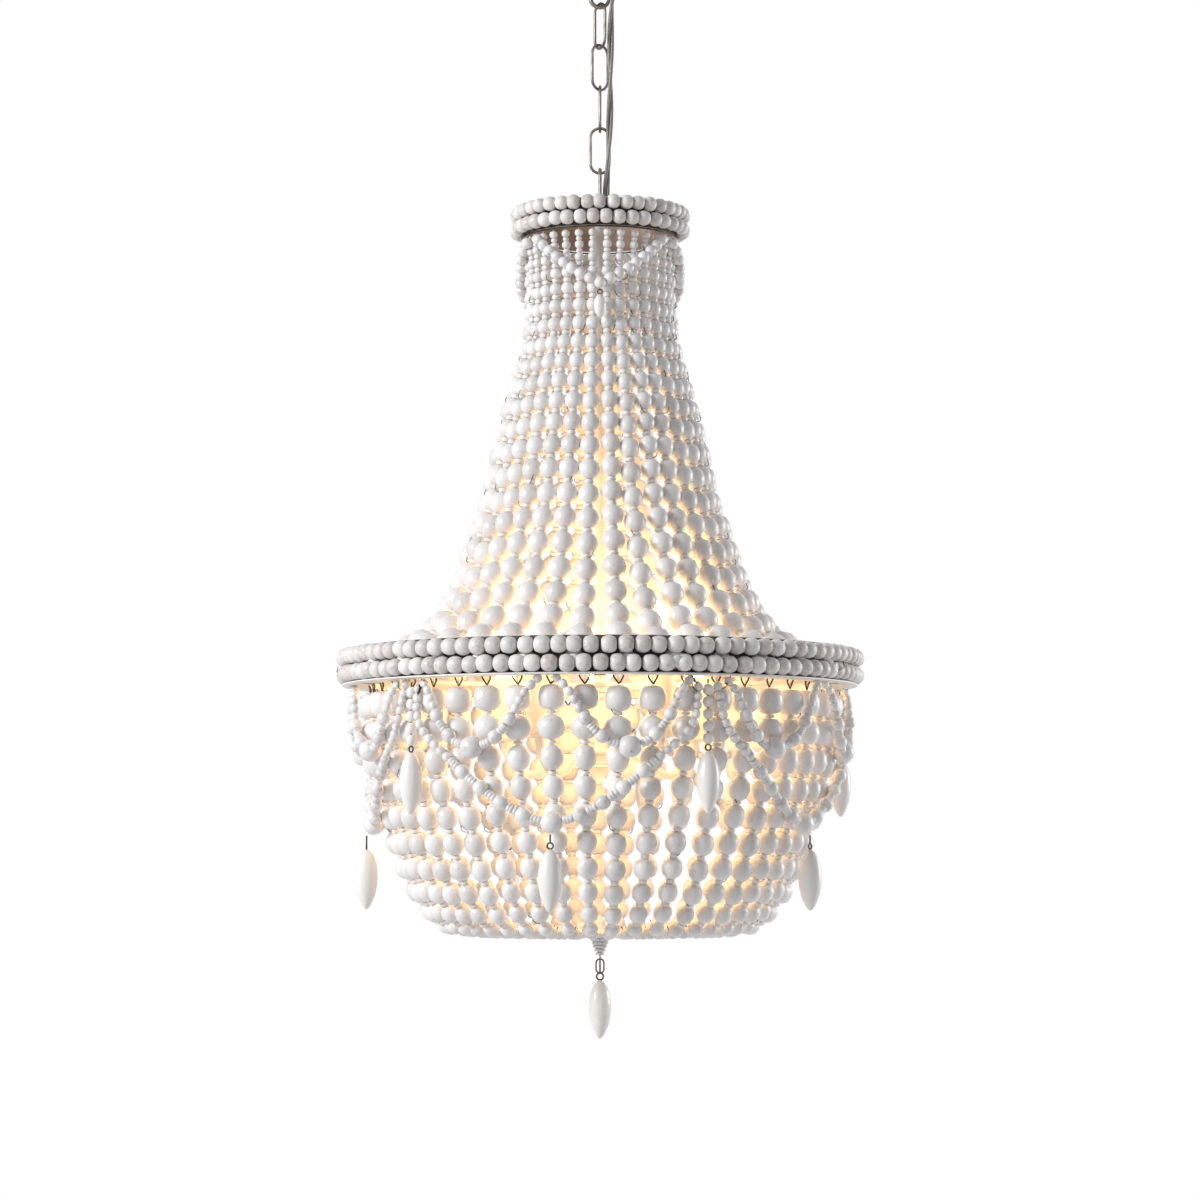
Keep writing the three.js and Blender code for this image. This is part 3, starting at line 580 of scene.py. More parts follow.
class Finish(Enum):
    """The finishes, each made once."""

    STRAND = BeadFinish(
        "strand_wash", (0.88, 0.87, 0.87, 1), (0.76, 0.745, 0.74, 1), (0.66, 0.57, 0.48, 1), 0.0
    )
    SWAG = BeadFinish(
        "swag_wash", (0.90, 0.895, 0.90, 1), (0.73, 0.72, 0.73, 1), (0.50, 0.42, 0.36, 1), 0.06
    )
    HOOP = BeadFinish(
        "hoop_wash", (0.88, 0.86, 0.84, 1), (0.70, 0.66, 0.64, 1), (0.50, 0.42, 0.38, 1), 0.1,
        mottle_scale=240.0, roughness=0.45, coat=0.2, relief=0.0006,
    )
    SPINDLE = TurnedFinish("ivory_spindle", (0.90, 0.885, 0.86, 1), (0.85, 0.83, 0.795, 1))
    PAINT = PaintFinish("cream_paint", (0.86, 0.85, 0.82, 1), (0.80, 0.785, 0.755, 1))
    # Painted shade: a brown coat on the crown hoop's inner face, for the warm shade inside the crown.
    PRIMER = PaintFinish("brown_primer", (0.42, 0.30, 0.24, 1), (0.30, 0.22, 0.18, 1), 0.6)
    # Painted shade: a near-black coat behind the bead rows, which darkens the gaps between the beads.
    BAND = PaintFinish("dark_band", (0.10, 0.085, 0.08, 1), (0.06, 0.05, 0.045, 1), 0.6)
    ZINC = PaintFinish("zinc_plate", (0.55, 0.56, 0.57, 1), (0.42, 0.43, 0.45, 1), 0.35, 1.0)
    NICKEL = WireFinish("nickel_wire", (0.21, 0.195, 0.18, 1), (0.10, 0.09, 0.083, 1), 0.24)
    BROWN = WireFinish("brown_wire", (0.045, 0.03, 0.022, 1), (0.11, 0.07, 0.045, 1), 0.35, 0.5)
    CORD = CordFinish("cord_sheath", (0.30, 0.275, 0.25, 1), (0.07, 0.06, 0.052, 1))
    SLEEVE = PaintFinish("ivory_sleeve", (0.90, 0.87, 0.78, 1), (0.84, 0.80, 0.70, 1), 0.5)
    BULB = GlowFinish(
        "lit_bulb", (0.9, 0.85, 0.75, 1), (1.0, 0.72, 0.38, 1), (1.0, 0.55, 0.2, 1), 9.0,
        -0.68, 0.05,
    )

    @property
    def surface(self) -> bpy.types.Material:
        """Returns the finish's material."""
        return bpy.data.materials.get(self.value.name) or self.value.material()


class Bead(Enum):
    """Bead forms: radius and height shares of their profiles, and the steps round them."""

    ROUND = ((0.0, -0.485), (0.48, -0.46), (0.86, -0.285), (1.0, 0.0), 12)
    BARREL = ((0.0, -0.49), (0.52, -0.475), (0.82, -0.37), (0.96, -0.18), (1.0, 0.0), 14)
    SPACER = ((0.0, -0.5), (0.8, -0.5), (1.0, -0.18), 10)

    @property
    def template(self) -> bpy.types.Mesh:
        """Returns the form's mesh, one metre in radius and height."""
        name = "bead_form_" + self.name.lower()
        return bpy.data.meshes.get(name) or self._make(name)

    def _make(self, name: str) -> bpy.types.Mesh:
        """Turns the form's profile, mirrored top to bottom."""
        half = list(self.value[:-1])
        profile = half + [(r, -h) for r, h in reversed(half) if h != 0.0]
        shape = Shape()
        shape.turned(profile, self.value[-1])
        grain = shape.bm.verts.layers.float_vector["grain"]
        for vertex in shape.bm.verts:
            vertex[grain] = vertex.co
        return shape.mesh(name)


class Route:
    """A smooth line through points, measured along its length."""

    def __init__(self, points: list[Vector], steps: int = 6) -> None:
        """Draws the line.

        Args:
            points: The points it passes through.
            steps: Short straight steps from one point to the next.
        """
        ends = [points[0] * 2 - points[1], *points, points[-1] * 2 - points[-2]]
        self.line: list[Vector] = [points[0]]
        for i in range(1, len(ends) - 2):
            before, here, there, after = ends[i - 1 : i + 3]
            for step in range(1, steps + 1):
                t = step / steps
                self.line.append(
                    0.5
                    * (
                        2 * here
                        + (there - before) * t
                        + (2 * before - 5 * here + 4 * there - after) * t**2
                        + (3 * here - before - 3 * there + after) * t**3
                    )
                )
        self.lengths = [0.0]
        for a, b in zip(self.line, self.line[1:]):
            self.lengths.append(self.lengths[-1] + (b - a).length)

    @property
    def total(self) -> float:
        """Returns the whole length."""
        return self.lengths[-1]

    def spaced(self, steps: int) -> list[Vector]:
        """Returns points at even steps from end to end."""
        return [self.at(self.total * i / steps)[0] for i in range(steps + 1)]

    def at(self, length: float) -> tuple[Vector, Vector]:
        """Returns the point at a length, and the direction there."""
        i = min(max(bisect.bisect_right(self.lengths, length), 1), len(self.line) - 1)
        start, end = self.line[i - 1], self.line[i]
        share = (length - self.lengths[i - 1]) / max(self.lengths[i] - self.lengths[i - 1], 1e-9)
        return start.lerp(end, share), (end - start).normalized()


def frame_at(point: Vector, along: Vector, side: Vector) -> Matrix:
    """Returns the frame at a point whose Z lies along a direction and whose X leans to a side."""
    x = (side - along * side.dot(along)).normalized()
    y = along.cross(x)
    return Matrix.Translation(point) @ Matrix((x, y, along)).transposed().to_4x4()


class Shape:
    """A mesh in the making. Its points carry a bead's tone and its own grain place."""

    def __init__(self) -> None:
        """Starts empty."""
        self.bm = bmesh.new()
        self.bm.verts.layers.float.new("tone")
        self.bm.verts.layers.float_vector.new("grain")

    def mark(self, vertices: list[bmesh.types.BMVert], tone: float, home: Matrix) -> None:
        """Gives points their tone, and their grain place counted from a home frame.

        Args:
            vertices: The points.
            tone: The piece's tone, 0 to 1.
            home: The frame that the grain lies along.
        """
        tones = self.bm.verts.layers.float["tone"]
        grain = self.bm.verts.layers.float_vector["grain"]
        back = home.inverted()
        shift = Vector((CHANCE.random(), CHANCE.random(), CHANCE.random()))
        for vertex in vertices:
            vertex[tones] = tone
            vertex[grain] = back @ vertex.co + shift

    def turned(
        self,
        profile: list[Pair],
        steps: int,
        home: Matrix | None = None,
        tone: float = 0.0,
    ) -> list[bmesh.types.BMVert]:
        """Spins a profile round Z.

        Args:
            profile: Radius and height of each point.
            steps: Steps in the full turn.
            home: Where the turned shape goes.
            tone: Its tone.

        Returns:
            The new points.
        """
        start = [self.bm.verts.new((radius, 0.0, height)) for radius, height in profile]
        edges = [self.bm.edges.new(ends) for ends in zip(start, start[1:])]
        known = set(self.bm.verts) - set(start)
        bmesh.ops.spin(
            self.bm, geom=start + edges, cent=(0, 0, 0), axis=UP, angle=2 * math.pi,
            steps=steps, use_merge=True,
        )
        made = [vertex for vertex in self.bm.verts if vertex not in known]
        bmesh.ops.remove_doubles(self.bm, verts=made, dist=1e-7)
        made = [vertex for vertex in self.bm.verts if vertex not in known]
        if home is not None:
            bmesh.ops.transform(self.bm, matrix=home, verts=made)
            self.mark(made, tone, home)
        return made

    def bead(self, form: Bead, home: Matrix, diameter: float, length: float, tone: float) -> None:
        """Adds a bead.

        Args:
            form: Its form.
            home: Its middle, with its bore along Z.
            diameter: Across the bore.
            length: Along the bore.
            tone: Its tone.
        """
        known = set(self.bm.verts)
        self.bm.from_mesh(form.template)
        made = [vertex for vertex in self.bm.verts if vertex not in known]
        size = Matrix.Diagonal((diameter / 2, diameter / 2, length, 1.0))
        bmesh.ops.transform(self.bm, matrix=home @ size, verts=made)
        self.mark(made, tone, home)

    def tube(self, points: list[Vector], radius: float, sides: int, closed: bool = False) -> None:
        """Sweeps a round section along points.

        Args:
            points: The middle line.
            radius: The section's radius.
            sides: Sides of the section.
            closed: Joins the last point to the first.
        """
        last = len(points) - 1
        along = []
        for i in range(len(points)):
            before = points[i - 1] if i or closed else points[0]
            after = points[(i + 1) % len(points)] if i < last or closed else points[last]
            along.append((after - before).normalized())
        side = along[0].orthogonal()
        frames = [frame_at(points[0], along[0], side)]
        for point, here, there in zip(points[1:], along, along[1:]):
            side = here.rotation_difference(there) @ frames[-1].to_3x3().col[0]
            frames.append(frame_at(point, there, side))
        ring = bmesh.ops.create_circle(
            self.bm, cap_ends=not closed, segments=sides, radius=radius, matrix=frames[0]
        )["verts"]
        made = list(ring)
        edges = list({edge for vertex in ring for edge in vertex.link_edges})
        first_edges = edges
        for before, after in zip(frames, frames[1:]):
            grown = bmesh.ops.extrude_edge_only(self.bm, edges=edges)["geom"]
            ring = [item for item in grown if isinstance(item, bmesh.types.BMVert)]
            fresh = set(ring)
            edges = [
                item
                for item in grown
                if isinstance(item, bmesh.types.BMEdge) and fresh.issuperset(item.verts)
            ]
            bmesh.ops.transform(self.bm, matrix=after @ before.inverted(), verts=ring)
            made += ring
        if closed:
            bmesh.ops.bridge_loops(self.bm, edges=first_edges + edges)
        else:
            bmesh.ops.contextual_create(self.bm, geom=edges)
        self.mark(made, 0.5, frames[0])

    def ring(
        self, centre: Vector, facing: Vector, radius: float, wire: float, steps: int = 20,
        sides: int = 6,
    ) -> None:
        """Bends a round ring of wire.

        Args:
            centre: The ring's middle.
            facing: The direction that its hole looks in.
            radius: Radius of the wire's middle line.
            wire: The wire's radius.
            steps: Steps round the ring.
            sides: Sides of the wire.
        """
        side = facing.orthogonal().normalized()
        other = facing.normalized().cross(side)
        turns = [2 * math.pi * i / steps for i in range(steps)]
        points = [centre + (side * math.cos(t) + other * math.sin(t)) * radius for t in turns]
        self.tube(points, wire, sides, closed=True)

    def oval(self, top: float, length: float, width: float, wire: float, turn: float) -> None:
        """Bends a closed oval of wire round the axis, upright, turned about the vertical.

        Args:
            top: Height of the top wire's middle.
            length: Over the wires.
            width: Over the wires.
            wire: The wire's radius.
            turn: Degrees of the oval's plane from +X.
        """
        bend = width / 2 - wire
        straight = length - width
        across = Matrix.Rotation(math.radians(turn), 3, "Z") @ SIDE
        steps = 12
        points = []
        for half in range(2):
            middle = top - bend - half * straight
            for i in range(steps + 1):
                angle = math.pi * (half + i / steps)
                height = middle + bend * math.sin(angle)
                points.append(across * bend * math.cos(angle) + UP * height)
        self.tube(points, wire, 10, closed=True)

    def wire_end(self, start: Vector, out: Vector, side: Vector, long: float, wire: float) -> None:
        """Bends a cut wire end that stands out and turns up.

        Args:
            start: Where it begins.
            out: The direction away from the axis.
            side: The direction that it leans to.
            long: Its size.
            wire: The wire's radius.
        """
        points = [start + (side * a + out * b + UP * c) * long for a, b, c in WIRE_END_SHARES]
        self.tube(Route(points, 3).spaced(6), wire, 4)

    def soften(self, width: float, least_degrees: float) -> None:
        """Bevels the edges that turn by more than an angle."""
        sharp = [
            edge
            for edge in self.bm.edges
            if edge.is_manifold and edge.calc_face_angle(0.0) > math.radians(least_degrees)
        ]
        bmesh.ops.bevel(
            self.bm, geom=sharp, offset=width, offset_type="OFFSET", segments=2, profile=0.5,
            affect="EDGES", material=-1,
        )

    def absorb(self, other: "Shape") -> None:
        """Takes in another shape's mesh."""
        mesh = other.mesh("part")
        self.bm.from_mesh(mesh)
        bpy.data.meshes.remove(mesh)

    def mesh(self, name: str) -> bpy.types.Mesh:
        """Ends the shape as a smooth mesh with its faces outwards."""
        bmesh.ops.recalc_face_normals(self.bm, faces=self.bm.faces[:])
        mesh = bpy.data.meshes.new(name)
        self.bm.to_mesh(mesh)
        self.bm.free()
        mesh.shade_smooth()
        mesh.set_sharp_from_angle(angle=math.radians(SHARP_EDGE_DEGREES))
        return mesh

    def piece(
        self, name: str, finish: Finish, body: str, slot: str, stands_for: tuple[str, ...] = ()
    ) -> bpy.types.Object:
        """Ends the shape as a piece that rides on a body.

        Args:
            name: The piece's name.
            finish: Its finish.
            body: The CAD body it moves with, or nothing where it is blended later.
            slot: Not used.
            stands_for: The CAD nodes that it replaces.

        Returns:
            The piece.
        """
        mesh = self.mesh(name)
        mesh.materials.append(finish.surface)
        made = placed(name, mesh)
        if body:
            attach(made, body)
        if stands_for:
            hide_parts(*stands_for)
        log.info("piece %s: %d faces", name, len(mesh.polygons))
        return made


@dataclass
class StrandSet:
    """Bead strings from one hoop down to another, alike but for what the hand adds."""

    name: str
    count: int
    phase: float
    start: Pair
    end: Pair
    across_shares: list[float]
    down_shares: list[float]
    size_shares: list[float]
    bead_diameter: float
    aspect_places: list[float]
    aspects: list[float]
    spacer_diameters: Pair
    spacer_lengths: Pair
    lead: float
    tail: float
    barrel_end: float = 0.0
    sway: float = 0.3
    groups: int = 4
    thread: float = 0.0006
    length_play: Pair = (0.985, 1.015)
    lead_play: Pair = (0.9, 1.1)
    size_play: Pair = (0.96, 1.02)
    spacer_limits: Pair = (0.75, 0.4)
    spacer_tone: float = 0.4
    curl_share: float = 0.14
    curl_length: float = 0.008
    curl_play: Pair = (0.6, 1.2)
    curl_wire: float = 0.0004

    def outline(self) -> list[Pair]:
        """Returns the strand's line as radius and height."""
        radii, heights = zip(self.start, self.end)
        return [
            (part_way(radii, across), part_way(heights, down))
            for across, down in zip(self.across_shares, self.down_shares)
        ]

    def share_down(self, height: float) -> float:
        """Returns how far down the strand a height is, 0 to 1."""
        return (height - self.start[1]) / (self.end[1] - self.start[1])

    def size_at(self, share: float) -> float:
        """Returns the beads' diameter a share of the way down."""
        return between(self.down_shares, self.size_shares, share) * self.bead_diameter

    def reach(self, height: float) -> float:
        """Returns how far out the strands come at a height."""
        share = self.share_down(height)
        radii = [radius for radius, _ in self.outline()]
        return between(self.down_shares, radii, share) + self.size_at(share) / 2

    def strand(self, degrees: float, wires: Shape) -> Shape:
        """Strings one strand.

        Args:
            degrees: Its angle from the front.
            wires: Takes the wire ends that stand out from it.

        Returns:
            The strand.
        """
        route = Route([place(radius, degrees, height) for radius, height in self.outline()], 5)
        shape = Shape()
        shape.tube(route.spaced(20), self.thread, 4)
        side = outward(degrees + 90)
        stretch = CHANCE.uniform(*self.length_play)
        spot = self.lead * CHANCE.uniform(*self.lead_play)
        while spot < route.total - self.tail:
            share = self.share_down(route.at(spot)[0].z)
            aspect = between(self.aspect_places, self.aspects, share)
            length = self.size_at(share) * aspect * stretch
            point, along = route.at(spot + length / 2)
            share = self.share_down(point.z)
            size = self.size_at(share) * CHANCE.uniform(*self.size_play)
            home = frame_at(point, along, side) @ chance_roll()
            form = Bead.BARREL if share < self.barrel_end else Bead.ROUND
            shape.bead(form, home, size, length, CHANCE.random() ** 2)
            spot += length
            widest, longest = self.spacer_limits
            across = min(part_way(self.spacer_diameters, share), size * widest)
            spacer = min(part_way(self.spacer_lengths, share), size * longest)
            point, along = route.at(spot + spacer / 2)
            home = frame_at(point, along, side)
            shape.bead(Bead.SPACER, home, across, spacer, CHANCE.random() * self.spacer_tone)
            spot += spacer
            if CHANCE.random() < self.curl_share:
                long = self.curl_length * CHANCE.uniform(*self.curl_play)
                lean = side * CHANCE.choice((-1, 1))
                wires.wire_end(point, outward(degrees), lean, long, self.curl_wire)
        return shape

    def build(self) -> None:
        """Strings every strand, in the CAD part's groups."""
        wires = Shape()
        for group in range(self.groups):
            shape = Shape()
            first = round_half_up(self.count * group / self.groups)
            end = round_half_up(self.count * (group + 1) / self.groups)
            for i in range(first, end):
                degrees = self.phase + 360 / self.count * i + CHANCE.uniform(-self.sway, self.sway)
                shape.absorb(self.strand(degrees, wires))
            node = f"{self.name}_{group + 1}"
            shape.piece(f"{node}_beads", Finish.STRAND, BODY, "strand_beads", (node,))
        wires.piece(f"{self.name}_wire_ends", Finish.BROWN, BODY, "nickel")


@dataclass
class Hoop:
    """A painted hoop with spokes, and two rows of beads threaded round it."""

    name: str
    radius: float
    height: float
    wall: float
    flange: float
    inner_flange: float
    flange_thickness: float
    spoke_count: int
    spoke_width: float
    spoke_phase: float
    spokes_at_top: bool
    bead_count: int
    bead_diameter: float
    bead_length: float
    rows: tuple[tuple[str, float, float], ...]
    rise: float = 0.0
    with_painted_shade_inside: bool = False
    steps: int = 96
    spoke_thickness: float = 0.003
    collar_radius: float = 0.012
    collar_height: float = 0.008
    stem_radius: float = 0.005
    bevel: float = 0.0004
    bevel_degrees: float = 60.0
    coat_inset: float = 0.0005
    coat_thickness: float = 0.00021
    turn_play: float = 0.06
    height_play: float = 0.0004
    tilt_play: float = 6.0
    size_play: Pair = (0.95, 1.01)
    length_play: Pair = (0.95, 1.0)

    def build(self) -> None:
        """Builds the hoop and its bead rows."""
        self.build_metal()
        for node, shift, rise in self.rows:
            self.build_row(node, shift, rise)

    def build_metal(self) -> None:
        """Turns the hoop and its collar, and lays the spokes between them."""
        top = highest(f"{self.name}_ring") + self.rise
        bottom = top - self.height
        inner = self.radius - self.wall
        lip = bottom + self.flange_thickness
        profile = [(inner, top), (self.radius, top), (self.radius, lip)]
        if self.flange:
            rim, edge = self.radius + self.flange, inner - self.inner_flange
            profile += [(rim, lip), (rim, bottom), (edge, bottom), (edge, lip)]
        hoop = Shape()
        hoop.turned([*profile, (inner, lip), (inner, top)], self.steps)
        spoke_top = top if self.spokes_at_top else bottom + self.spoke_thickness
        base = spoke_top - self.collar_height
        bore = self.stem_radius + CLEARANCE
        hoop.turned(
            [
                (bore, base), (self.collar_radius, base), (self.collar_radius, spoke_top),
                (bore, spoke_top), (bore, base),
            ],
            32,
        )
        middle = (self.collar_radius + inner) / 2
        long = inner - self.collar_radius + self.wall
        for k in range(self.spoke_count):
            degrees = self.spoke_phase + 360 * k / self.spoke_count
            point = place(middle, degrees, spoke_top - self.spoke_thickness / 2)
            size = Matrix.Diagonal((long, self.spoke_width, self.spoke_thickness, 1.0))
            home = frame_at(point, UP, outward(degrees)) @ size
            bmesh.ops.create_cube(hoop.bm, size=1.0, matrix=home)
        hoop.soften(self.bevel, self.bevel_degrees)
        ring = f"{self.name}_ring"
        hoop.piece(f"{self.name}_hoop", Finish.PAINT, BODY, "white_paint", (ring,))
        low, high = lip + self.coat_inset, top - self.coat_inset
        # The near-black coat on the hoop's outer face is painted shade for the gaps between the beads.
        self.coat("band", self.radius, self.radius + self.coat_thickness, low, high, Finish.BAND)
        # The brown coat on the inner face is painted shade, for the warm shade inside the crown.
        if self.with_painted_shade_inside:
            self.coat("primer", inner - CLEARANCE, inner, low, high, Finish.PRIMER)

    def coat(
        self, name: str, inner: float, outer: float, low: float, high: float, finish: Finish
    ) -> None:
        """Turns a thin coat of painted shade on one face of the hoop.

        Args:
            name: The coat's name.
            inner: Its inner radius.
            outer: Its outer radius.
            low: Where it begins.
            high: Where it ends.
            finish: Its finish.
        """
        corners = [(inner, low), (outer, low), (outer, high), (inner, high), (inner, low)]
        shape = Shape()
        shape.turned(corners, self.steps)
        shape.piece(f"{self.name}_{name}", finish, BODY, "white_paint")

    def build_row(self, node: str, shift: float, rise: float) -> None:
        """Threads one row of beads.

        Args:
            node: The CAD node that the row stands for.
            shift: How far round the row starts, in beads.
            rise: How far the row sits above the CAD's.
        """
        height = (lowest(node) + highest(node)) / 2 + rise
        circle = self.radius + CLEARANCE + self.bead_diameter / 2
        shape = Shape()
        for i in range(self.bead_count):
            turn = i + shift + CHANCE.uniform(-self.turn_play, self.turn_play)
            degrees = 360 * turn / self.bead_count
            lift = CHANCE.uniform(-self.height_play, self.height_play)
            home = frame_at(place(circle, degrees, height + lift), outward(degrees + 90), UP)
            home = home @ chance_tilt(self.tilt_play) @ chance_roll()
            size = self.bead_diameter * CHANCE.uniform(*self.size_play)
            length = self.bead_length * CHANCE.uniform(*self.length_play)
            shape.bead(Bead.BARREL, home, size, length, CHANCE.random())
        shape.piece(f"{node}_strung", Finish.HOOP, BODY, "ring_beads", (node,))


@dataclass
class Garland:
    """Swags hooked under a hoop.

    Each has a large bead at its low point, then runs of discs between medium beads, and small
    round beads up to the hook.
    """

    node: str
    count: int
    crest: float
    legs: tuple[float, ...]
    across_shares: list[float]
    down_shares: list[float]
    depth: float
    hook_height: float
    hook_radius: float
    behind: StrandSet
    stand_offs: Pair
    low_diameter: float
    medium_diameters: Pair
    disc_run: int
    disc_end: float
    ramp: float = 1.0
    disc_size: Pair = (0.0082, 0.0033)
    small_diameter: float = 0.0085
    thread: float = 0.0006
    low_aspect: float = 0.96
    low_tone: float = 0.6
    nest: float = 0.97
    tilt_play: float = 7.0
    size_play: Pair = (0.92, 1.08)

    def half(self, swag: int, side: int) -> Route:
        """Draws half a swag, from its low point up to its hook.

        Args:
            swag: Which swag.
            side: -1 for the half before the low point, 1 for the half past it.

        Returns:
            The route.
        """
        span = 360 / self.count
        low = self.crest + span * (swag + 0.5)
        leg = self.legs[(swag + (side > 0)) % len(self.legs)]
        points = []
        for across, down in zip(self.across_shares, self.down_shares):
            height = self.hook_height - down * self.depth
            from_low = (span / 2 - leg) * (1 - across)
            radius = self.behind.reach(height) + part_way(self.stand_offs, down**self.ramp)
            if across == 0:
                radius = self.hook_radius
            points.append(place(radius, low + side * from_low, height))
        points.reverse()
        return Route(points, 6)

    def string_half(self, shape: Shape, route: Route) -> None:
        """Strings the beads of half a swag on its route."""
        shape.tube(route.spaced(12), self.thread, 4)
        spot = self.low_diameter * 0.49
        run = self.disc_run
        while spot < route.total - self.small_diameter * 0.7:
            share = spot / route.total
            form = Bead.ROUND
            if share > self.disc_end:
                across = long = self.small_diameter * CHANCE.uniform(*self.size_play)
            elif run:
                form = Bead.SPACER
                across, long = self.disc_size
                run -= 1
            else:
                across = long = part_way(self.medium_diameters, share)
                run = self.disc_run
            home = frame_at(*route.at(spot + long / 2), UP) @ chance_tilt(self.tilt_play)
            shape.bead(form, home, across, long, CHANCE.random())
            spot += long * self.nest

    def build(self) -> None:
        """Strings every swag."""
        shape = Shape()
        for swag in range(self.count):
            part = Shape()
            for side in (-1, 1):
                self.string_half(part, self.half(swag, side))
            home = frame_at(*self.half(swag, 1).at(0.0), UP)
            across = self.low_diameter
            tone = CHANCE.random() * self.low_tone
            part.bead(Bead.ROUND, home, across, across * self.low_aspect, tone)
            shape.absorb(part)
        shape.piece(f"{self.node}_beads", Finish.SWAG, BODY, "swag_beads", (self.node,))


@dataclass
class Drop:
    """A turned spindle on a jump ring, hung by a wire that may carry a short string of beads."""

    node: str
    length: float
    diameter: float
    ring_radius: float = 0.0027
    ring_wire: float = 0.0008
    bead_count: int = 0
    bead_diameter: float = 0.0098
    string_lead: float = 0.004
    stand_out: float = 0.0
    stand_down: float = 0.7
    lift: float = 0.0
    wood_tone: float = 0.3
    bead_tone: float = 0.7
    size_play: Pair = (0.9, 1.02)
    nest: float = 0.97

    def build(self) -> None:
        """Builds the spindle, its bead string and its wire."""
        low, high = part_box(self.node)
        middle = Vector(((low[0] + high[0]) / 2, (low[1] + high[1]) / 2, 0.0))
        out = middle.normalized() if middle.length > self.diameter else FRONT
        middle += out * self.stand_out
        top = low[2] + self.lift + self.length
        profile = [(w * self.diameter / 2, top - s * self.length) for s, w in SPINDLE_SHARES]
        wood = Shape()
        wood.turned(profile, 24, Matrix.Translation(middle), self.wood_tone)
        wire = Shape()
        ring_middle = middle + UP * (top + self.ring_radius)
        wire.ring(ring_middle, out, self.ring_radius, self.ring_wire)
        ring_top = ring_middle.z + self.ring_radius
        hung = high[2] - self.stand_out * self.stand_down
        if hung - ring_top > 2 * self.ring_wire:
            wire.tube([middle + UP * ring_top, middle + UP * hung], self.ring_wire, 6)
        self.string(wood, middle, hung - self.string_lead, ring_top)
        wood.piece(f"{self.node}_wood", Finish.SPINDLE, self.node, "drop_wood", (self.node,))
        wire.piece(f"{self.node}_wire", Finish.BROWN, self.node, "nickel")

    def string(self, wood: Shape, middle: Vector, top: float, foot: float) -> None:
        """Strings the beads on the wire over the jump ring.

        Args:
            wood: Takes the beads.
            middle: The drop's own upright line.
            top: Where the string begins.
            foot: Where the string ends.
        """
        for i in range(self.bead_count):
            pitch = (top - foot) / self.bead_count
            home = Matrix.Translation(middle + UP * (top - pitch * (i + 0.5)))
            width = self.bead_diameter * CHANCE.uniform(*self.size_play)
            tone = CHANCE.random() * self.bead_tone
            wood.bead(Bead.ROUND, home, width, pitch * self.nest, tone)


@dataclass
class Finial:
    """The gather plate with its beaded cone and eye, an oval link, and the last spindle."""

    cone_radius: float = 0.0108
    tip_radius: float = 0.0035
    cone_height: float = 0.020
    plate_radius: float = 0.034
    plate_thickness: float = 0.004
    plate_bevel: float = 0.0004
    tiers: int = 6
    seed_sizes: Pair = (0.0042, 0.0024)
    eye_radius: float = 0.003
    link_length: float = 0.0146
    link_width: float = 0.0088
    small_ring_radius: float = 0.0032
    wire: float = 0.0007
    spindle_length: float = 0.055
    spindle_diameter: float = 0.0212

    def build(self) -> None:
        """Builds the gather and the drop under it."""
        top = highest("gather_cone")
        plate = top - self.plate_thickness
        tip = plate - self.cone_height
        metal = Shape()
        metal.turned(
            [
                (0.0, top), (self.plate_radius * 0.55, top), (self.plate_radius, top - 0.001),
                (self.plate_radius, plate), (self.cone_radius * 0.6, plate),
                (self.tip_radius * 0.5, tip + 0.001), (0.0, tip),
            ],
            40,
        )
        metal.soften(self.plate_bevel, 40.0)
        metal.piece("gather_plate", Finish.PAINT, BODY, "white_paint", ("gather_cone",))
        self.build_tiers(plate, tip)
        eye = Shape()
        eye.ring(UP * (tip + self.wire - self.eye_radius), SIDE, self.eye_radius, self.wire)
        eye.piece("gather_eye", Finish.NICKEL, BODY, "nickel")
        node = "finial_pendant"
        ring = self.small_ring_radius
        Drop(node, self.spindle_length, self.spindle_diameter, ring).build()
        link = Shape()
        foot = lowest(node) + self.spindle_length + 2 * ring
        top = foot + self.link_length - 2 * self.wire
        link.oval(top, self.link_length, self.link_width, self.wire, 0.0)
        link.piece("finial_ring", Finish.BROWN, node, "nickel")

    def build_tiers(self, plate: float, tip: float) -> None:
        """Rings the cone with tiers of seed beads, smaller towards its tip."""
        shape = Shape()
        for tier in range(self.tiers):
            share = (tier + 0.5) / self.tiers
            size = part_way(self.seed_sizes, share)
            circle = part_way((self.cone_radius, self.tip_radius), share) - size / 2
            height = part_way((plate, tip), share)
            count = max(5, round(2 * math.pi * circle / size))
            for i in range(count):
                degrees = 360 * (i + tier / 2) / count
                home = frame_at(place(circle, degrees, height), outward(degrees + 90), UP)
                shape.bead(Bead.SPACER, home, size, size, CHANCE.random())
        shape.piece("gather_seed_beads", Finish.STRAND, BODY, "strand_beads")


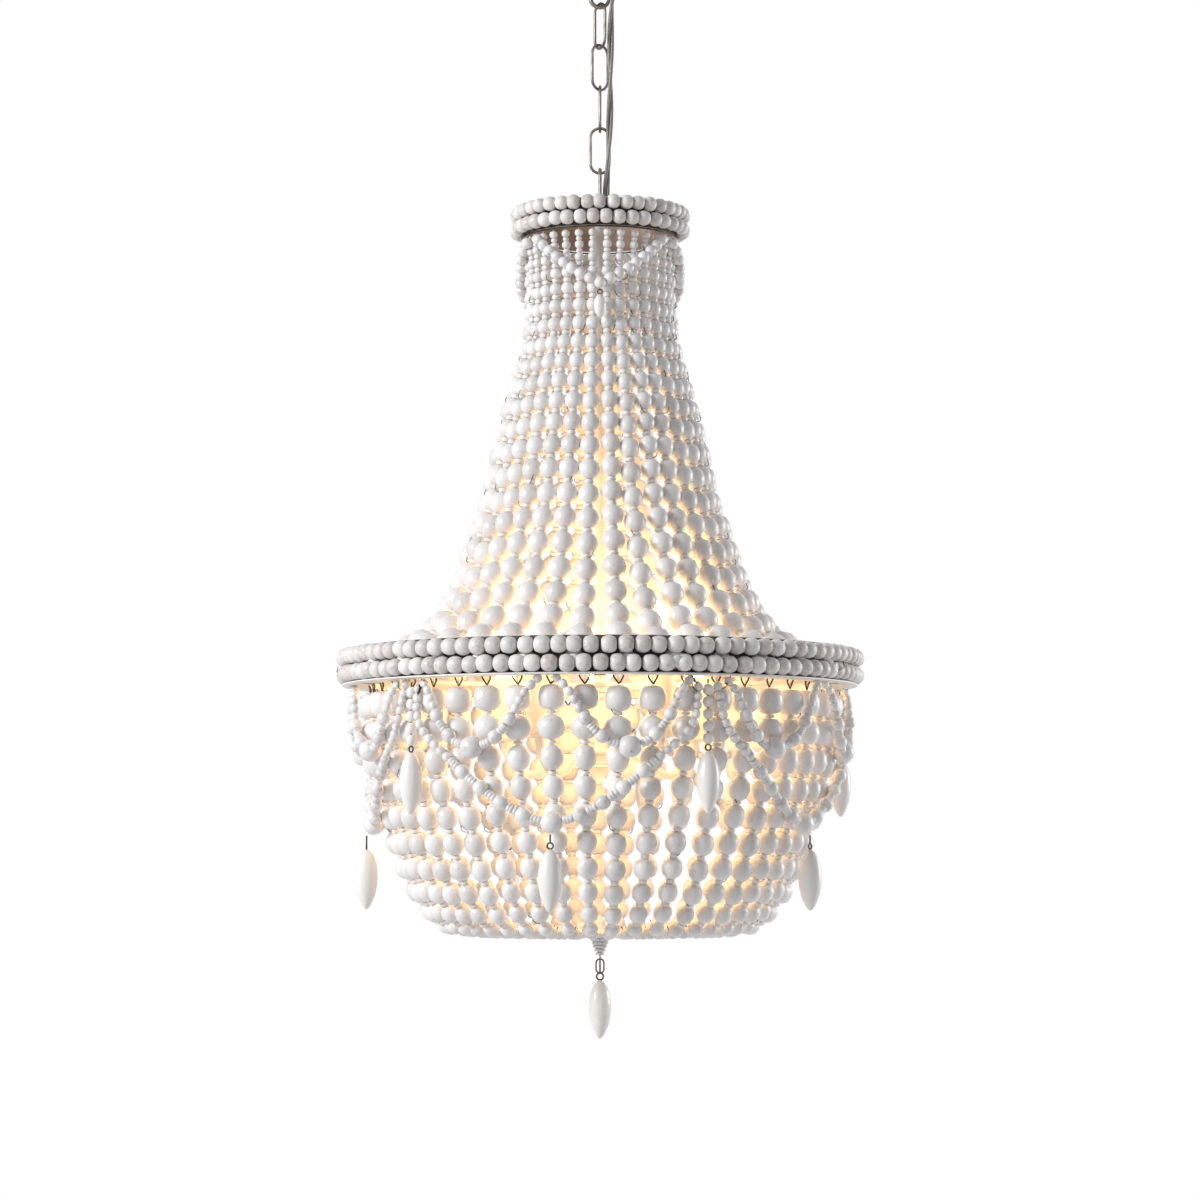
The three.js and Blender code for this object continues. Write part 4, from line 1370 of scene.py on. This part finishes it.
@dataclass
class Hooks:
    """Brown wire under the hoops.

    It makes a V hook on each lower strand, the cut ends at the swags' crests, and the ring that
    ties the upper strands.
    """

    strands: StrandSet
    flange_bottom: float
    hook_radius: float
    tie_radius: float
    tie_height: float
    crest_count: int = 5
    wire: float = 0.0008
    spread: float = 0.0044
    spread_play: Pair = (0.7, 1.2)
    drop: float = 0.0078
    ends: int = 6
    end_length: float = 0.012
    end_play: Pair = (0.5, 1.1)
    end_wire: float = 0.00055
    end_flatness: float = 0.6
    knot_out: float = 0.012
    knot_down: float = 0.007
    knot_sideways: Pair = (0.007, 0.012)
    knot_downwards: Pair = (-0.002, 0.008)

    def build(self) -> None:
        """Bends every hook."""
        shape = Shape()
        for i in range(self.strands.count):
            degrees = self.strands.phase + 360 / self.strands.count * i
            part = Shape()
            foot = place(self.hook_radius, degrees, self.flange_bottom - self.drop)
            rise = UP * self.drop
            for sign in (-1, 1):
                spread = self.spread * CHANCE.uniform(*self.spread_play)
                side = outward(degrees + 90) * sign * spread
                out = outward(degrees)
                points = [foot + side * a + rise * b + out * c for a, b, c in HOOK_SHARES]
                part.tube(Route(points, 3).spaced(7), self.wire, 5)
            shape.absorb(part)
        for k in range(self.crest_count):
            degrees = CREST_DEGREES + 360 / self.crest_count * k
            height = self.flange_bottom - self.knot_down
            knot = place(self.hook_radius + self.knot_out, degrees, height)
            out = outward(degrees) * self.end_flatness
            for _ in range(self.ends):
                lean = outward(degrees + 90) * CHANCE.choice((-1, 1))
                start = knot + lean * CHANCE.uniform(*self.knot_sideways)
                start -= UP * CHANCE.uniform(*self.knot_downwards)
                long = self.end_length * CHANCE.uniform(*self.end_play)
                shape.wire_end(start, out, lean, long, self.end_wire)
        shape.ring(UP * self.tie_height, UP, self.tie_radius, self.wire, 48)
        shape.piece("strand_hooks", Finish.BROWN, BODY, "nickel")


@dataclass
class Lamp:
    """Hub, five swept arms with drip pans, candle sleeves and lit candle bulbs."""

    count: int = 5
    circle: float = 0.095
    hub_radius: float = 0.028
    hub_bore: float = 0.0053
    hub_rim_share: float = 0.22
    arm_radius: float = 0.004
    arm_sag: float = 0.014
    arm_rise: float = 0.020
    pan_radius: float = 0.015
    pan_thickness: float = 0.003
    sleeve_radius: float = 0.0125
    bulb_radius: float = 0.0175
    bulb_height: float = 0.070
    cap_radius: float = 0.0077
    socket_depth: float = 0.020

    def build(self) -> None:
        """Builds the hub and every arm."""
        self.build_hub()
        for k in range(self.count):
            self.build_arm(k + 1, 360 * (k + 0.5) / self.count)

    def build_hub(self) -> None:
        """Turns the hub with a waist and two rims."""
        low, high = lowest("lamp_hub"), highest("lamp_hub")
        rim = (high - low) * self.hub_rim_share
        radius, bore = self.hub_radius, self.hub_bore
        hub = Shape()
        hub.turned(
            [
                (bore, low), (radius * 0.86, low), (radius * 0.96, low + rim * 0.4),
                (radius * 0.96, low + rim), (radius * 0.88, low + rim * 1.4),
                (radius * 0.88, high - rim * 1.4), (radius * 0.99, high - rim),
                (radius * 0.99, high - rim * 0.4), (radius * 0.86, high), (bore, high), (bore, low),
            ],
            48,
        )
        hub.piece("lamp_hub_turned", Finish.PAINT, BODY, "white_paint", ("lamp_hub",))

    def build_arm(self, number: int, degrees: float) -> None:
        """Builds one arm with its pan, sleeve and bulb.

        Args:
            number: The arm's number in the CAD names.
            degrees: Its angle from the front.
        """
        node = f"lamp_arm_{number}"
        middle = (lowest("lamp_hub") + highest("lamp_hub")) / 2
        reach = (self.hub_radius * 0.9, self.circle)
        rise = self.arm_rise - self.pan_thickness / 2
        points = [
            place(part_way(reach, out), degrees, middle - sag * self.arm_sag + up * rise)
            for out, sag, up in ARM_SHARES
        ]
        arm = Shape()
        arm.tube(Route(points, 6).spaced(24), self.arm_radius, 14)
        seat = Matrix.Translation(place(self.circle, degrees, 0.0))
        radius, top = self.pan_radius, highest(node)
        base = top - self.pan_thickness
        arm.turned(
            [
                (0.0, base), (radius * 0.5, base), (radius, top - 0.0008), (radius, top),
                (radius * 0.88, top - 0.0006), (0.0, base + 0.0012),
            ],
            32, seat,
        )
        arm.piece(f"{node}_swept", Finish.PAINT, BODY, "white_paint", (node,))
        self.build_candle(number, seat)

    def build_candle(self, number: int, seat: Matrix) -> None:
        """Builds an arm's sleeve and bulb on its seat."""
        node = f"candle_sleeve_{number}"
        bottom, top = lowest(node), highest(node)
        radius, bore = self.sleeve_radius, self.cap_radius + CLEARANCE
        floor = top - self.socket_depth
        sleeve = Shape()
        sleeve.turned(
            [
                (0.0, bottom), (radius, bottom), (radius, top - 0.001), (radius - 0.001, top),
                (bore, top - 0.0005), (bore, floor), (0.0, floor),
            ],
            28, seat,
        )
        sleeve.piece(f"{node}_tube", Finish.SLEEVE, BODY, "candle_sleeve", (node,))
        node = f"bulb_{number}"
        glass = [(w * self.bulb_radius, top + s * self.bulb_height) for s, w in BULB_SHARES]
        cap = floor + CLEARANCE
        bulb = Shape()
        bulb.turned([(0.0, cap), (self.cap_radius, cap), (self.cap_radius, top), *glass], 20, seat)
        bulb.piece(f"{node}_glass", Finish.BULB, BODY, "bulb_glass", (node,))


@dataclass
class Hanger:
    """Canopy, loop, chain, stem loop and stem."""

    canopy_radius: float = 0.060
    edge_radius: float = 0.010
    wall: float = 0.0014
    nut_radius: float = 0.0055
    nut_height: float = 0.007
    dome_height: float = 0.0042
    screw_offset: float = 0.038
    screw_radius: float = 0.002
    collar_radius: float = 0.009
    collar_height: float = 0.005
    nipple_radius: float = 0.005
    ring_radius: float = 0.009
    ring_wire: float = 0.002
    link_length: float = 0.0465
    link_width: float = 0.021
    link_wire: float = 0.0014
    link_turns: tuple[float, ...] = (-58.0, 36.0, 90.0, 0.0)
    loop_length: float = 0.036
    loop_width: float = 0.018
    loop_wire: float = 0.00175
    coupling_radius: float = 0.0105
    coupling_height: float = 0.014
    stem_radius: float = 0.005
    stem_nut_radius: float = 0.009
    stem_nut_height: float = 0.005

    def build(self) -> None:
        """Builds everything above the crown, and the stem inside."""
        self.build_canopy()
        self.build_nuts()
        self.build_ring()
        for k, turn in enumerate(self.link_turns):
            node = f"chain_link_{k + 1}"
            top = highest(node) - self.link_wire
            link = Shape()
            link.oval(top, self.link_length, self.link_width, self.link_wire, turn)
            link.piece(f"{node}_wire", Finish.NICKEL, f"link_{k + 1}", "nickel", (node,))
        self.build_stem()

    def build_canopy(self) -> None:
        """Turns the canopy cup with a rounded edge and a raised rim round its middle."""
        bottom, top = lowest("canopy"), highest("canopy")
        bend = self.canopy_radius - self.edge_radius
        hole = self.nipple_radius + CLEARANCE
        outer, inner = (
            [
                (bend + radius * sine, bottom + self.edge_radius - radius * cosine)
                for sine, cosine in quarter_turn(8)
            ]
            for radius in (self.edge_radius, self.edge_radius - self.wall)
        )
        rim = [
            (hole, bottom), (0.016, bottom), (0.019, bottom + 0.0009),
            (0.022, bottom + 0.0009), (0.024, bottom),
        ]
        lip = [
            (self.canopy_radius, top - 0.0012), (self.canopy_radius - self.wall / 2, top),
            (self.canopy_radius - self.wall, top - 0.0012),
        ]
        back = [*reversed(inner), (hole, bottom + self.wall), (hole, bottom)]
        cup = Shape()
        cup.turned([*rim, *outer, *lip, *back], 72)
        cup.piece("canopy_cup", Finish.PAINT, "ceiling", "white_paint", ("canopy",))

    def build_nuts(self) -> None:
        """Turns the two screws with their domed nuts."""
        for side, node in ((-1, "canopy_screw_left"), (1, "canopy_screw_right")):
            bottom, top = lowest(node), highest(node)
            shoulder = bottom + self.nut_height
            dome = [
                (self.nut_radius * sine, bottom + self.dome_height * (1 - cosine))
                for sine, cosine in quarter_turn(6)
            ]
            nut = Shape()
            nut.turned(
                [
                    *dome, (self.nut_radius, shoulder), (self.screw_radius, shoulder),
                    (self.screw_radius, top), (0.0, top),
                ],
                24, Matrix.Translation(SIDE * side * self.screw_offset),
            )
            nut.piece(f"{node}_nut", Finish.NICKEL, "ceiling", "nickel", (node,))

    def build_ring(self) -> None:
        """Turns the nipple and collar and bends the canopy's ring."""
        bottom, top = lowest("canopy_loop"), highest("canopy_loop")
        centre = bottom + self.ring_radius + self.ring_wire
        base = centre + self.ring_radius - self.ring_wire / 2
        loop = Shape()
        collar_top = base + self.collar_height
        loop.turned(
            [
                (0.0, base), (self.collar_radius * 0.8, base), (self.collar_radius, base + 0.0012),
                (self.collar_radius, collar_top - 0.0008), (self.collar_radius * 0.92, collar_top),
                (self.nipple_radius, collar_top), (self.nipple_radius, top), (0.0, top),
            ],
            36,
        )
        loop.ring(UP * centre, FRONT, self.ring_radius, self.ring_wire, 32, 12)
        loop.piece("canopy_ring", Finish.NICKEL, "ceiling", "nickel", ("canopy_loop",))

    def build_stem(self) -> None:
        """Bends the stem's loop, and turns the coupling and the stem."""
        low, top = lowest("stem_loop"), highest("stem_loop") - self.loop_wire
        shoulder = low + self.coupling_height
        radius, bore = self.coupling_radius, self.stem_radius + CLEARANCE
        loop = Shape()
        loop.oval(top, self.loop_length, self.loop_width, self.loop_wire, 90)
        loop.turned(
            [
                (bore, low), (radius, low), (radius, shoulder - 0.003),
                (radius * 0.8, shoulder - 0.001), (radius * 0.4, shoulder), (0.0, shoulder),
                (0.0, shoulder - 0.004), (bore, shoulder - 0.004), (bore, low),
            ],
            32,
        )
        loop.piece("stem_loop_wire", Finish.NICKEL, BODY, "nickel", ("stem_loop",))
        low, high = lowest("stem"), highest("stem")
        radius, nut = self.stem_radius, self.stem_nut_radius
        profile = [(0.0, low), (radius * 0.8, low + 0.0008), (radius, low + 0.0025)]
        for held in ("lamp_hub", "body_ring"):
            top = lowest(held) - CLEARANCE
            foot = top - self.stem_nut_height
            profile += [(radius, foot), (nut, foot), (nut, top), (radius, top)]
        stem = Shape()
        stem.turned([*profile, (radius, high), (0.0, high)], 28)
        stem.piece("stem_tube", Finish.PAINT, BODY, "white_paint", ("stem",))


@dataclass
class Cord:
    """Twin-core cord laced beside the chain, in stretches that each bend across one joint."""

    core_radius: float = 0.0017
    core_offset: float = 0.00165
    twist_pitch: float = 0.15
    sides: int = 10
    step: float = 0.003
    end_drop: float = 0.034
    bend_reach: float = 0.008
    route_points: tuple[Triple, ...] = (
        (0.015, -0.0046, -0.012),
        (0.015, -0.0046, -0.022),
        (0.0149, -0.0046, -0.034),
        (0.0120, -0.0047, -0.048),
        (0.0107, -0.0048, -0.062),
        (0.0103, -0.0049, -0.078),
        (0.0102, -0.005, -0.094),
        (0.0101, -0.005, -0.110),
        (0.0100, -0.005, -0.126),
        (0.0098, -0.005, -0.142),
        (0.0095, -0.005, -0.158),
        (0.0090, -0.005, -0.174),
        (0.0083, -0.005, -0.190),
        (0.0075, -0.0048, -0.206),
        (0.0066, -0.0044, -0.220),
        (0.006, -0.004, -0.231),
        (0.006, -0.004, -0.237),
    )

    def build(self) -> None:
        """Builds a stretch of the cord for each joint of the chain."""
        end = Vector(self.route_points[-1])
        end.z = highest("stem_loop") - self.end_drop
        points = [Vector(p) for p in self.route_points] + [end]
        self.route = Route(points, 5)
        swings = [joint for joint in frame["joints"] if joint["child"] in CHAIN_BODIES]
        heights = [joint["pos_m"][2] for joint in swings]
        middles = [(a + b) / 2 for a, b in zip(heights, heights[1:])]
        cuts = [points[0].z, *middles, points[-1].z]
        for k, (joint, height) in enumerate(zip(swings, heights)):
            stretch = self.stretch(cuts[k], cuts[k + 1])
            name = f"power_cord_{k + 1}"
            piece = stretch.piece(name, Finish.CORD, "", "clear_cord", ("power_cord",))
            x, y = self.at_height(height)[:2]
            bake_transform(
                piece, joint["parent"], joint["child"],
                start=(x, y, height + self.bend_reach), end=(x, y, height - self.bend_reach),
            )

    def length_at(self, height: float) -> float:
        """Returns the length along the route where it comes down to a height."""
        falling = [-point.z for point in self.route.line]
        return between(falling, self.route.lengths, -height)

    def at_height(self, height: float) -> Vector:
        """Returns the route's point at a height."""
        return self.route.at(self.length_at(height))[0]

    def stretch(self, top: float, bottom: float) -> Shape:
        """Builds both cores from one height down to another."""
        shape = Shape()
        turns = shape.bm.verts.layers.float.new("turn")
        alongs = shape.bm.verts.layers.float.new("along")
        first, last = self.length_at(top), self.length_at(bottom)
        steps = max(8, round((last - first) / self.step))
        for core in (0, 1):
            points = []
            for i in range(steps + 1):
                length = first + (last - first) * i / steps
                point, along = self.route.at(length)
                phase = 2 * math.pi * (length / self.twist_pitch + core / 2)
                offset = Vector((math.cos(phase), math.sin(phase), 0)) * self.core_offset
                points.append(frame_at(point, along, SIDE) @ offset)
            known = set(shape.bm.verts)
            shape.tube(points, self.core_radius, self.sides)
            made = [vertex for vertex in shape.bm.verts if vertex not in known]
            for i, vertex in enumerate(made):
                vertex[turns] = (i % self.sides) / self.sides
                vertex[alongs] = first + (last - first) * (i // self.sides) / steps
        return shape


@dataclass
class Studio:
    """Camera at the photograph's view, soft lamps, white surroundings and a pale floor.

    A row of `glows` is a light on the axis: its height, its softness and its power.
    """

    camera_place: Triple = (0.0, -3.18, -0.865)
    camera_tilt: float = 4.33
    lens: float = 100.8
    floor_height: float = -1.9
    floor_radius: float = 14.0
    floor_fade: Pair = (2.0, 4.5)
    fill: float = 0.26
    aim: Triple = (0.0, 0.0, -0.6)
    key_place: Triple = (-2.7, -1.6, 0.4)
    key_size: float = 1.3
    key_power: float = 88.0
    rim_place: Triple = (2.5, 0.8, -0.4)
    rim_size: float = 1.2
    rim_power: float = 34.0
    glow_colour: Triple = (1.0, 0.54, 0.17)
    glows: tuple[Triple, ...] = ((-0.50, 0.03, 0.10), (-0.62, 0.03, 0.16), (-0.82, 0.05, 0.30))
    glow_count: int = 5
    glow_circle: float = 0.118
    glow_height: float = -0.71
    glow_softness: float = 0.03
    glow_power: float = 0.17

    def build_camera(self) -> None:
        """Sets up the camera."""
        data = bpy.data.cameras.new("view")
        data.lens = self.lens
        data.sensor_width = 36.0
        data.clip_end = 60.0
        camera = placed("view", data)
        camera.location = self.camera_place
        camera.rotation_euler = (math.radians(90 + self.camera_tilt), 0.0, 0.0)
        bpy.context.scene.camera = camera
        bpy.context.scene.view_settings.view_transform = "Standard"

    def build_lamp(self, name: str, where: Triple, size: float, power: float) -> None:
        """Hangs a square soft lamp that faces the object.

        Args:
            name: The lamp's name.
            where: Its middle.
            size: Its side.
            power: Its power in watts.
        """
        data = bpy.data.lights.new(name, "AREA")
        data.size = size
        data.energy = power
        lamp = placed(name, data)
        lamp.location = where
        lamp.rotation_mode = "QUATERNION"
        lamp.rotation_quaternion = (Vector(self.aim) - Vector(where)).to_track_quat("-Z", "Y")

    def build_glow(self, where: Vector, radius: float, power: float) -> None:
        """Sets a warm glow, which stands for the light of the bulbs round it.

        Args:
            where: Its middle.
            radius: Its softness.
            power: Its power in watts.
        """
        data = bpy.data.lights.new("glow", "POINT")
        data.color = self.glow_colour
        data.shadow_soft_size = radius
        data.energy = power
        glow = placed("glow", data)
        glow.location = where
        glow.visible_camera = False

    def build_world(self) -> None:
        """Surrounds the object with plain white, seen at full strength and lit at the fill's."""
        world = bpy.data.worlds.new("white_room")
        bpy.context.scene.world = world
        shader = Shader(world)
        lit = shader.node("ShaderNodeBackground", None, {"Color": WHITE, "Strength": self.fill})
        shown = shader.node("ShaderNodeBackground", None, {"Color": WHITE, "Strength": 1.0})
        both = shader.node("ShaderNodeMixShader", None, {0: shader.seen(), 1: lit, 2: shown})
        shader.surface(both, "ShaderNodeOutputWorld")

    def floor_material(self) -> bpy.types.Material:
        """Makes the pale floor, which fades to plain white away from the object."""
        shader = Shader(bpy.data.materials.new("pale_floor"))
        where = shader.objects()
        away = shader.node("ShaderNodeVectorMath", {"operation": "LENGTH"}, {0: where}, "Value")
        grit = shader.noise(where, 30.0, 2.0)
        colour = shader.mix(grit, (0.90, 0.90, 0.90, 1), (0.86, 0.86, 0.86, 1))
        ground = shader.node("ShaderNodeBsdfDiffuse", None, {"Color": colour})
        plain = shader.node("ShaderNodeEmission", None, {"Color": WHITE, "Strength": 1.0})
        share = shader.seen() * (shader.span(away, *self.floor_fade) * 0.25 + 0.75)
        shader.surface(shader.node("ShaderNodeMixShader", None, {0: share, 1: ground, 2: plain}))
        return shader.owner

    def build_floor(self) -> None:
        """Lays the floor under the object."""
        bm = bmesh.new()
        bmesh.ops.create_circle(
            bm, cap_ends=True, segments=64, radius=self.floor_radius,
            matrix=Matrix.Translation((0, 0, self.floor_height)),
        )
        mesh = bpy.data.meshes.new("floor")
        bm.to_mesh(mesh)
        bm.free()
        mesh.materials.append(self.floor_material())
        placed("floor", mesh)

    def build(self) -> None:
        """Builds the lamps, the surroundings and the floor."""
        self.build_lamp("key", self.key_place, self.key_size, self.key_power)
        self.build_lamp("rim", self.rim_place, self.rim_size, self.rim_power)
        for height, radius, power in self.glows:
            self.build_glow(UP * height, radius, power)
        for i in range(self.glow_count):
            where = place(self.glow_circle, 360 / self.glow_count * i, self.glow_height)
            self.build_glow(where, self.glow_softness, self.glow_power)
        self.build_world()
        self.build_floor()


def upper_strands() -> StrandSet:
    """Returns the strands from the crown hoop out to the body hoop."""
    return StrandSet(
        name="upper_strands",
        count=33,
        phase=-5.45,
        start=(0.071, lowest("crown_ring") + CROWN_RISE - 0.0018),
        end=(0.2302, highest("body_ring") - 0.020),
        across_shares=[
            0, -0.018, -0.026, -0.006, 0.088, 0.17, 0.22, 0.27,
            0.317, 0.368, 0.433, 0.509, 0.622, 0.766, 0.886, 1,
        ],
        down_shares=[
            0, 0.058, 0.157, 0.244, 0.381, 0.52, 0.617, 0.67,
            0.726, 0.785, 0.84, 0.891, 0.936, 0.968, 0.988, 1,
        ],
        size_shares=[
            0.39, 0.48, 0.66, 0.75, 0.85, 0.98, 1.05, 1.09,
            1.13, 1.17, 1.2, 1.26, 1.36, 1.37, 1.22, 1.0,
        ],
        bead_diameter=0.0196,
        aspect_places=[0.0, 0.12, 0.5, 0.88, 0.95, 1.0],
        aspects=[0.94, 1.02, 1.04, 0.99, 0.95, 0.95],
        spacer_diameters=(0.0070, 0.0115),
        spacer_lengths=(0.0040, 0.0034),
        lead=0.001,
        tail=0.004,
    )


def lower_strands() -> StrandSet:
    """Returns the strands from the body hoop down and in to the gather plate."""
    top = highest("short_garland")
    return StrandSet(
        name="lower_strands",
        count=45,
        phase=-43.5,
        start=(0.2175, top),
        end=(0.0358, top - 0.2316),
        across_shares=[0, 0, 0.001, 0.003, 0.016, 0.05, 0.124, 0.213, 0.308, 0.413, 0.647, 1],
        down_shares=[0, 0.03, 0.085, 0.182, 0.3, 0.42, 0.6, 0.782, 0.903, 0.975, 0.997, 1],
        size_shares=[1.27, 1.28, 1.29, 1.34, 1.08, 1.04, 1.0, 0.96, 0.86, 0.7, 0.5, 0.3],
        barrel_end=0.1,
        bead_diameter=0.020,
        aspect_places=[0.0, 0.09, 0.17, 0.24, 0.5, 1.0],
        aspects=[0.92, 0.92, 0.87, 1.03, 1.08, 1.02],
        spacer_diameters=(0.0088, 0.0078),
        spacer_lengths=(0.0031, 0.0042),
        lead=0.0078,
        tail=0.002,
    )


def build_swags(upper: StrandSet, lower: StrandSet) -> None:
    """Strings the three garlands and hangs every drop.

    Args:
        upper: The strands behind the crown's swags.
        lower: The strands behind the body's swags.
    """
    hook = highest("short_garland") - SWAG_LOW
    low, high = (Vector(corner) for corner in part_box("crest_drop_1"))
    hook_radius = low.lerp(high, 0.5).xy.length + SWAG_STEP
    Garland(
        node="short_garland", count=10, crest=CREST_DEGREES, legs=(4.0, 1.6),
        across_shares=[0, 0.2, 0.42, 0.66, 0.87, 1],
        down_shares=[0, 0.22, 0.62, 0.88, 0.98, 1],
        depth=0.062, hook_height=hook, hook_radius=hook_radius + SWAG_STEP, behind=lower,
        stand_offs=(0.0040, 0.0050), low_diameter=0.021, medium_diameters=(0.0135, 0.0115),
        disc_run=3, disc_end=0.5,
    ).build()
    Garland(
        node="long_garland", count=5, crest=CREST_DEGREES, legs=(2.1,),
        across_shares=[0, 0.035, 0.12, 0.27, 0.44, 0.62, 0.8, 0.93, 1],
        down_shares=[0, 0.26, 0.41, 0.55, 0.71, 0.85, 0.95, 0.99, 1],
        depth=0.1285, hook_height=hook, hook_radius=hook_radius, behind=lower,
        stand_offs=(0.0040, 0.0050), low_diameter=0.0205, medium_diameters=(0.0145, 0.0115),
        disc_run=3, disc_end=0.55,
    ).build()
    Garland(
        node="crown_garland", count=3, crest=60.0, legs=(3.0,),
        across_shares=[0, 0.25, 0.5, 0.75, 1],
        down_shares=[0.06, 0.32, 0.58, 0.82, 1],
        depth=0.0555, hook_height=highest("crown_garland") + CROWN_RISE, hook_radius=0.0745,
        behind=upper, stand_offs=(0.0020, 0.0082), ramp=3.0, low_diameter=0.011,
        medium_diameters=(0.0108, 0.0108), disc_run=0, disc_end=1.0,
    ).build()
    for k in range(5):
        Drop(f"crest_drop_{k + 1}", 0.056, 0.0205, bead_count=5, stand_out=0.004).build()
        Drop(f"low_pendant_{k + 1}", 0.056, 0.0213).build()
    for k in range(3):
        Drop(f"crown_drop_{k + 1}", 0.022, 0.0115, 0.0022, 0.0006, lift=0.004).build()


def dress_bracket() -> None:
    """Gives the ceiling bracket, which keeps its CAD shape, its plated finish."""
    bracket = frame["nodes"]["ceiling_bracket"]
    bracket.data.materials.clear()
    bracket.data.materials.append(Finish.ZINC.surface)


def main() -> None:
    """Builds the scene in order."""
    logging.basicConfig(level=logging.INFO, format="%(message)s")
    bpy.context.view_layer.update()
    studio = Studio()
    studio.build_camera()
    Cord().build()
    Hanger().build()
    Hoop(
        name="crown", radius=0.072, height=0.027, wall=0.002,
        flange=0.0, inner_flange=0.0, flange_thickness=0.0,
        spoke_count=4, spoke_width=0.009, spoke_phase=45.0, spokes_at_top=True,
        bead_count=40, bead_diameter=0.0142, bead_length=0.0122,
        rows=(("crown_beads_top", 0.0, 0.0074), ("crown_beads_bottom", 0.5, 0.0062)),
        # The crown's inner face gets a brown coat of painted shade.
        rise=CROWN_RISE, with_painted_shade_inside=True,
    ).build()
    body = Hoop(
        name="body", radius=0.2335, height=0.035, wall=0.002,
        flange=0.010, inner_flange=0.0135, flange_thickness=0.0015,
        spoke_count=5, spoke_width=0.011, spoke_phase=0.0, spokes_at_top=False,
        bead_count=102, bead_diameter=0.0162, bead_length=0.0148,
        rows=(("body_beads_bottom", 0.0, 0.0), ("body_beads_top", 0.5, 0.0)), steps=128,
    )
    body.build()
    Lamp().build()
    upper = upper_strands()
    lower = lower_strands()
    upper.build()
    lower.build()
    build_swags(upper, lower)
    Hooks(
        strands=lower, flange_bottom=highest("body_ring") - body.height, hook_radius=lower.start[0],
        tie_radius=0.0735, tie_height=lowest("crown_ring") + CROWN_RISE - 0.001,
    ).build()
    Finial().build()
    dress_bracket()
    studio.build()


if __name__ == "__main__":
    main()
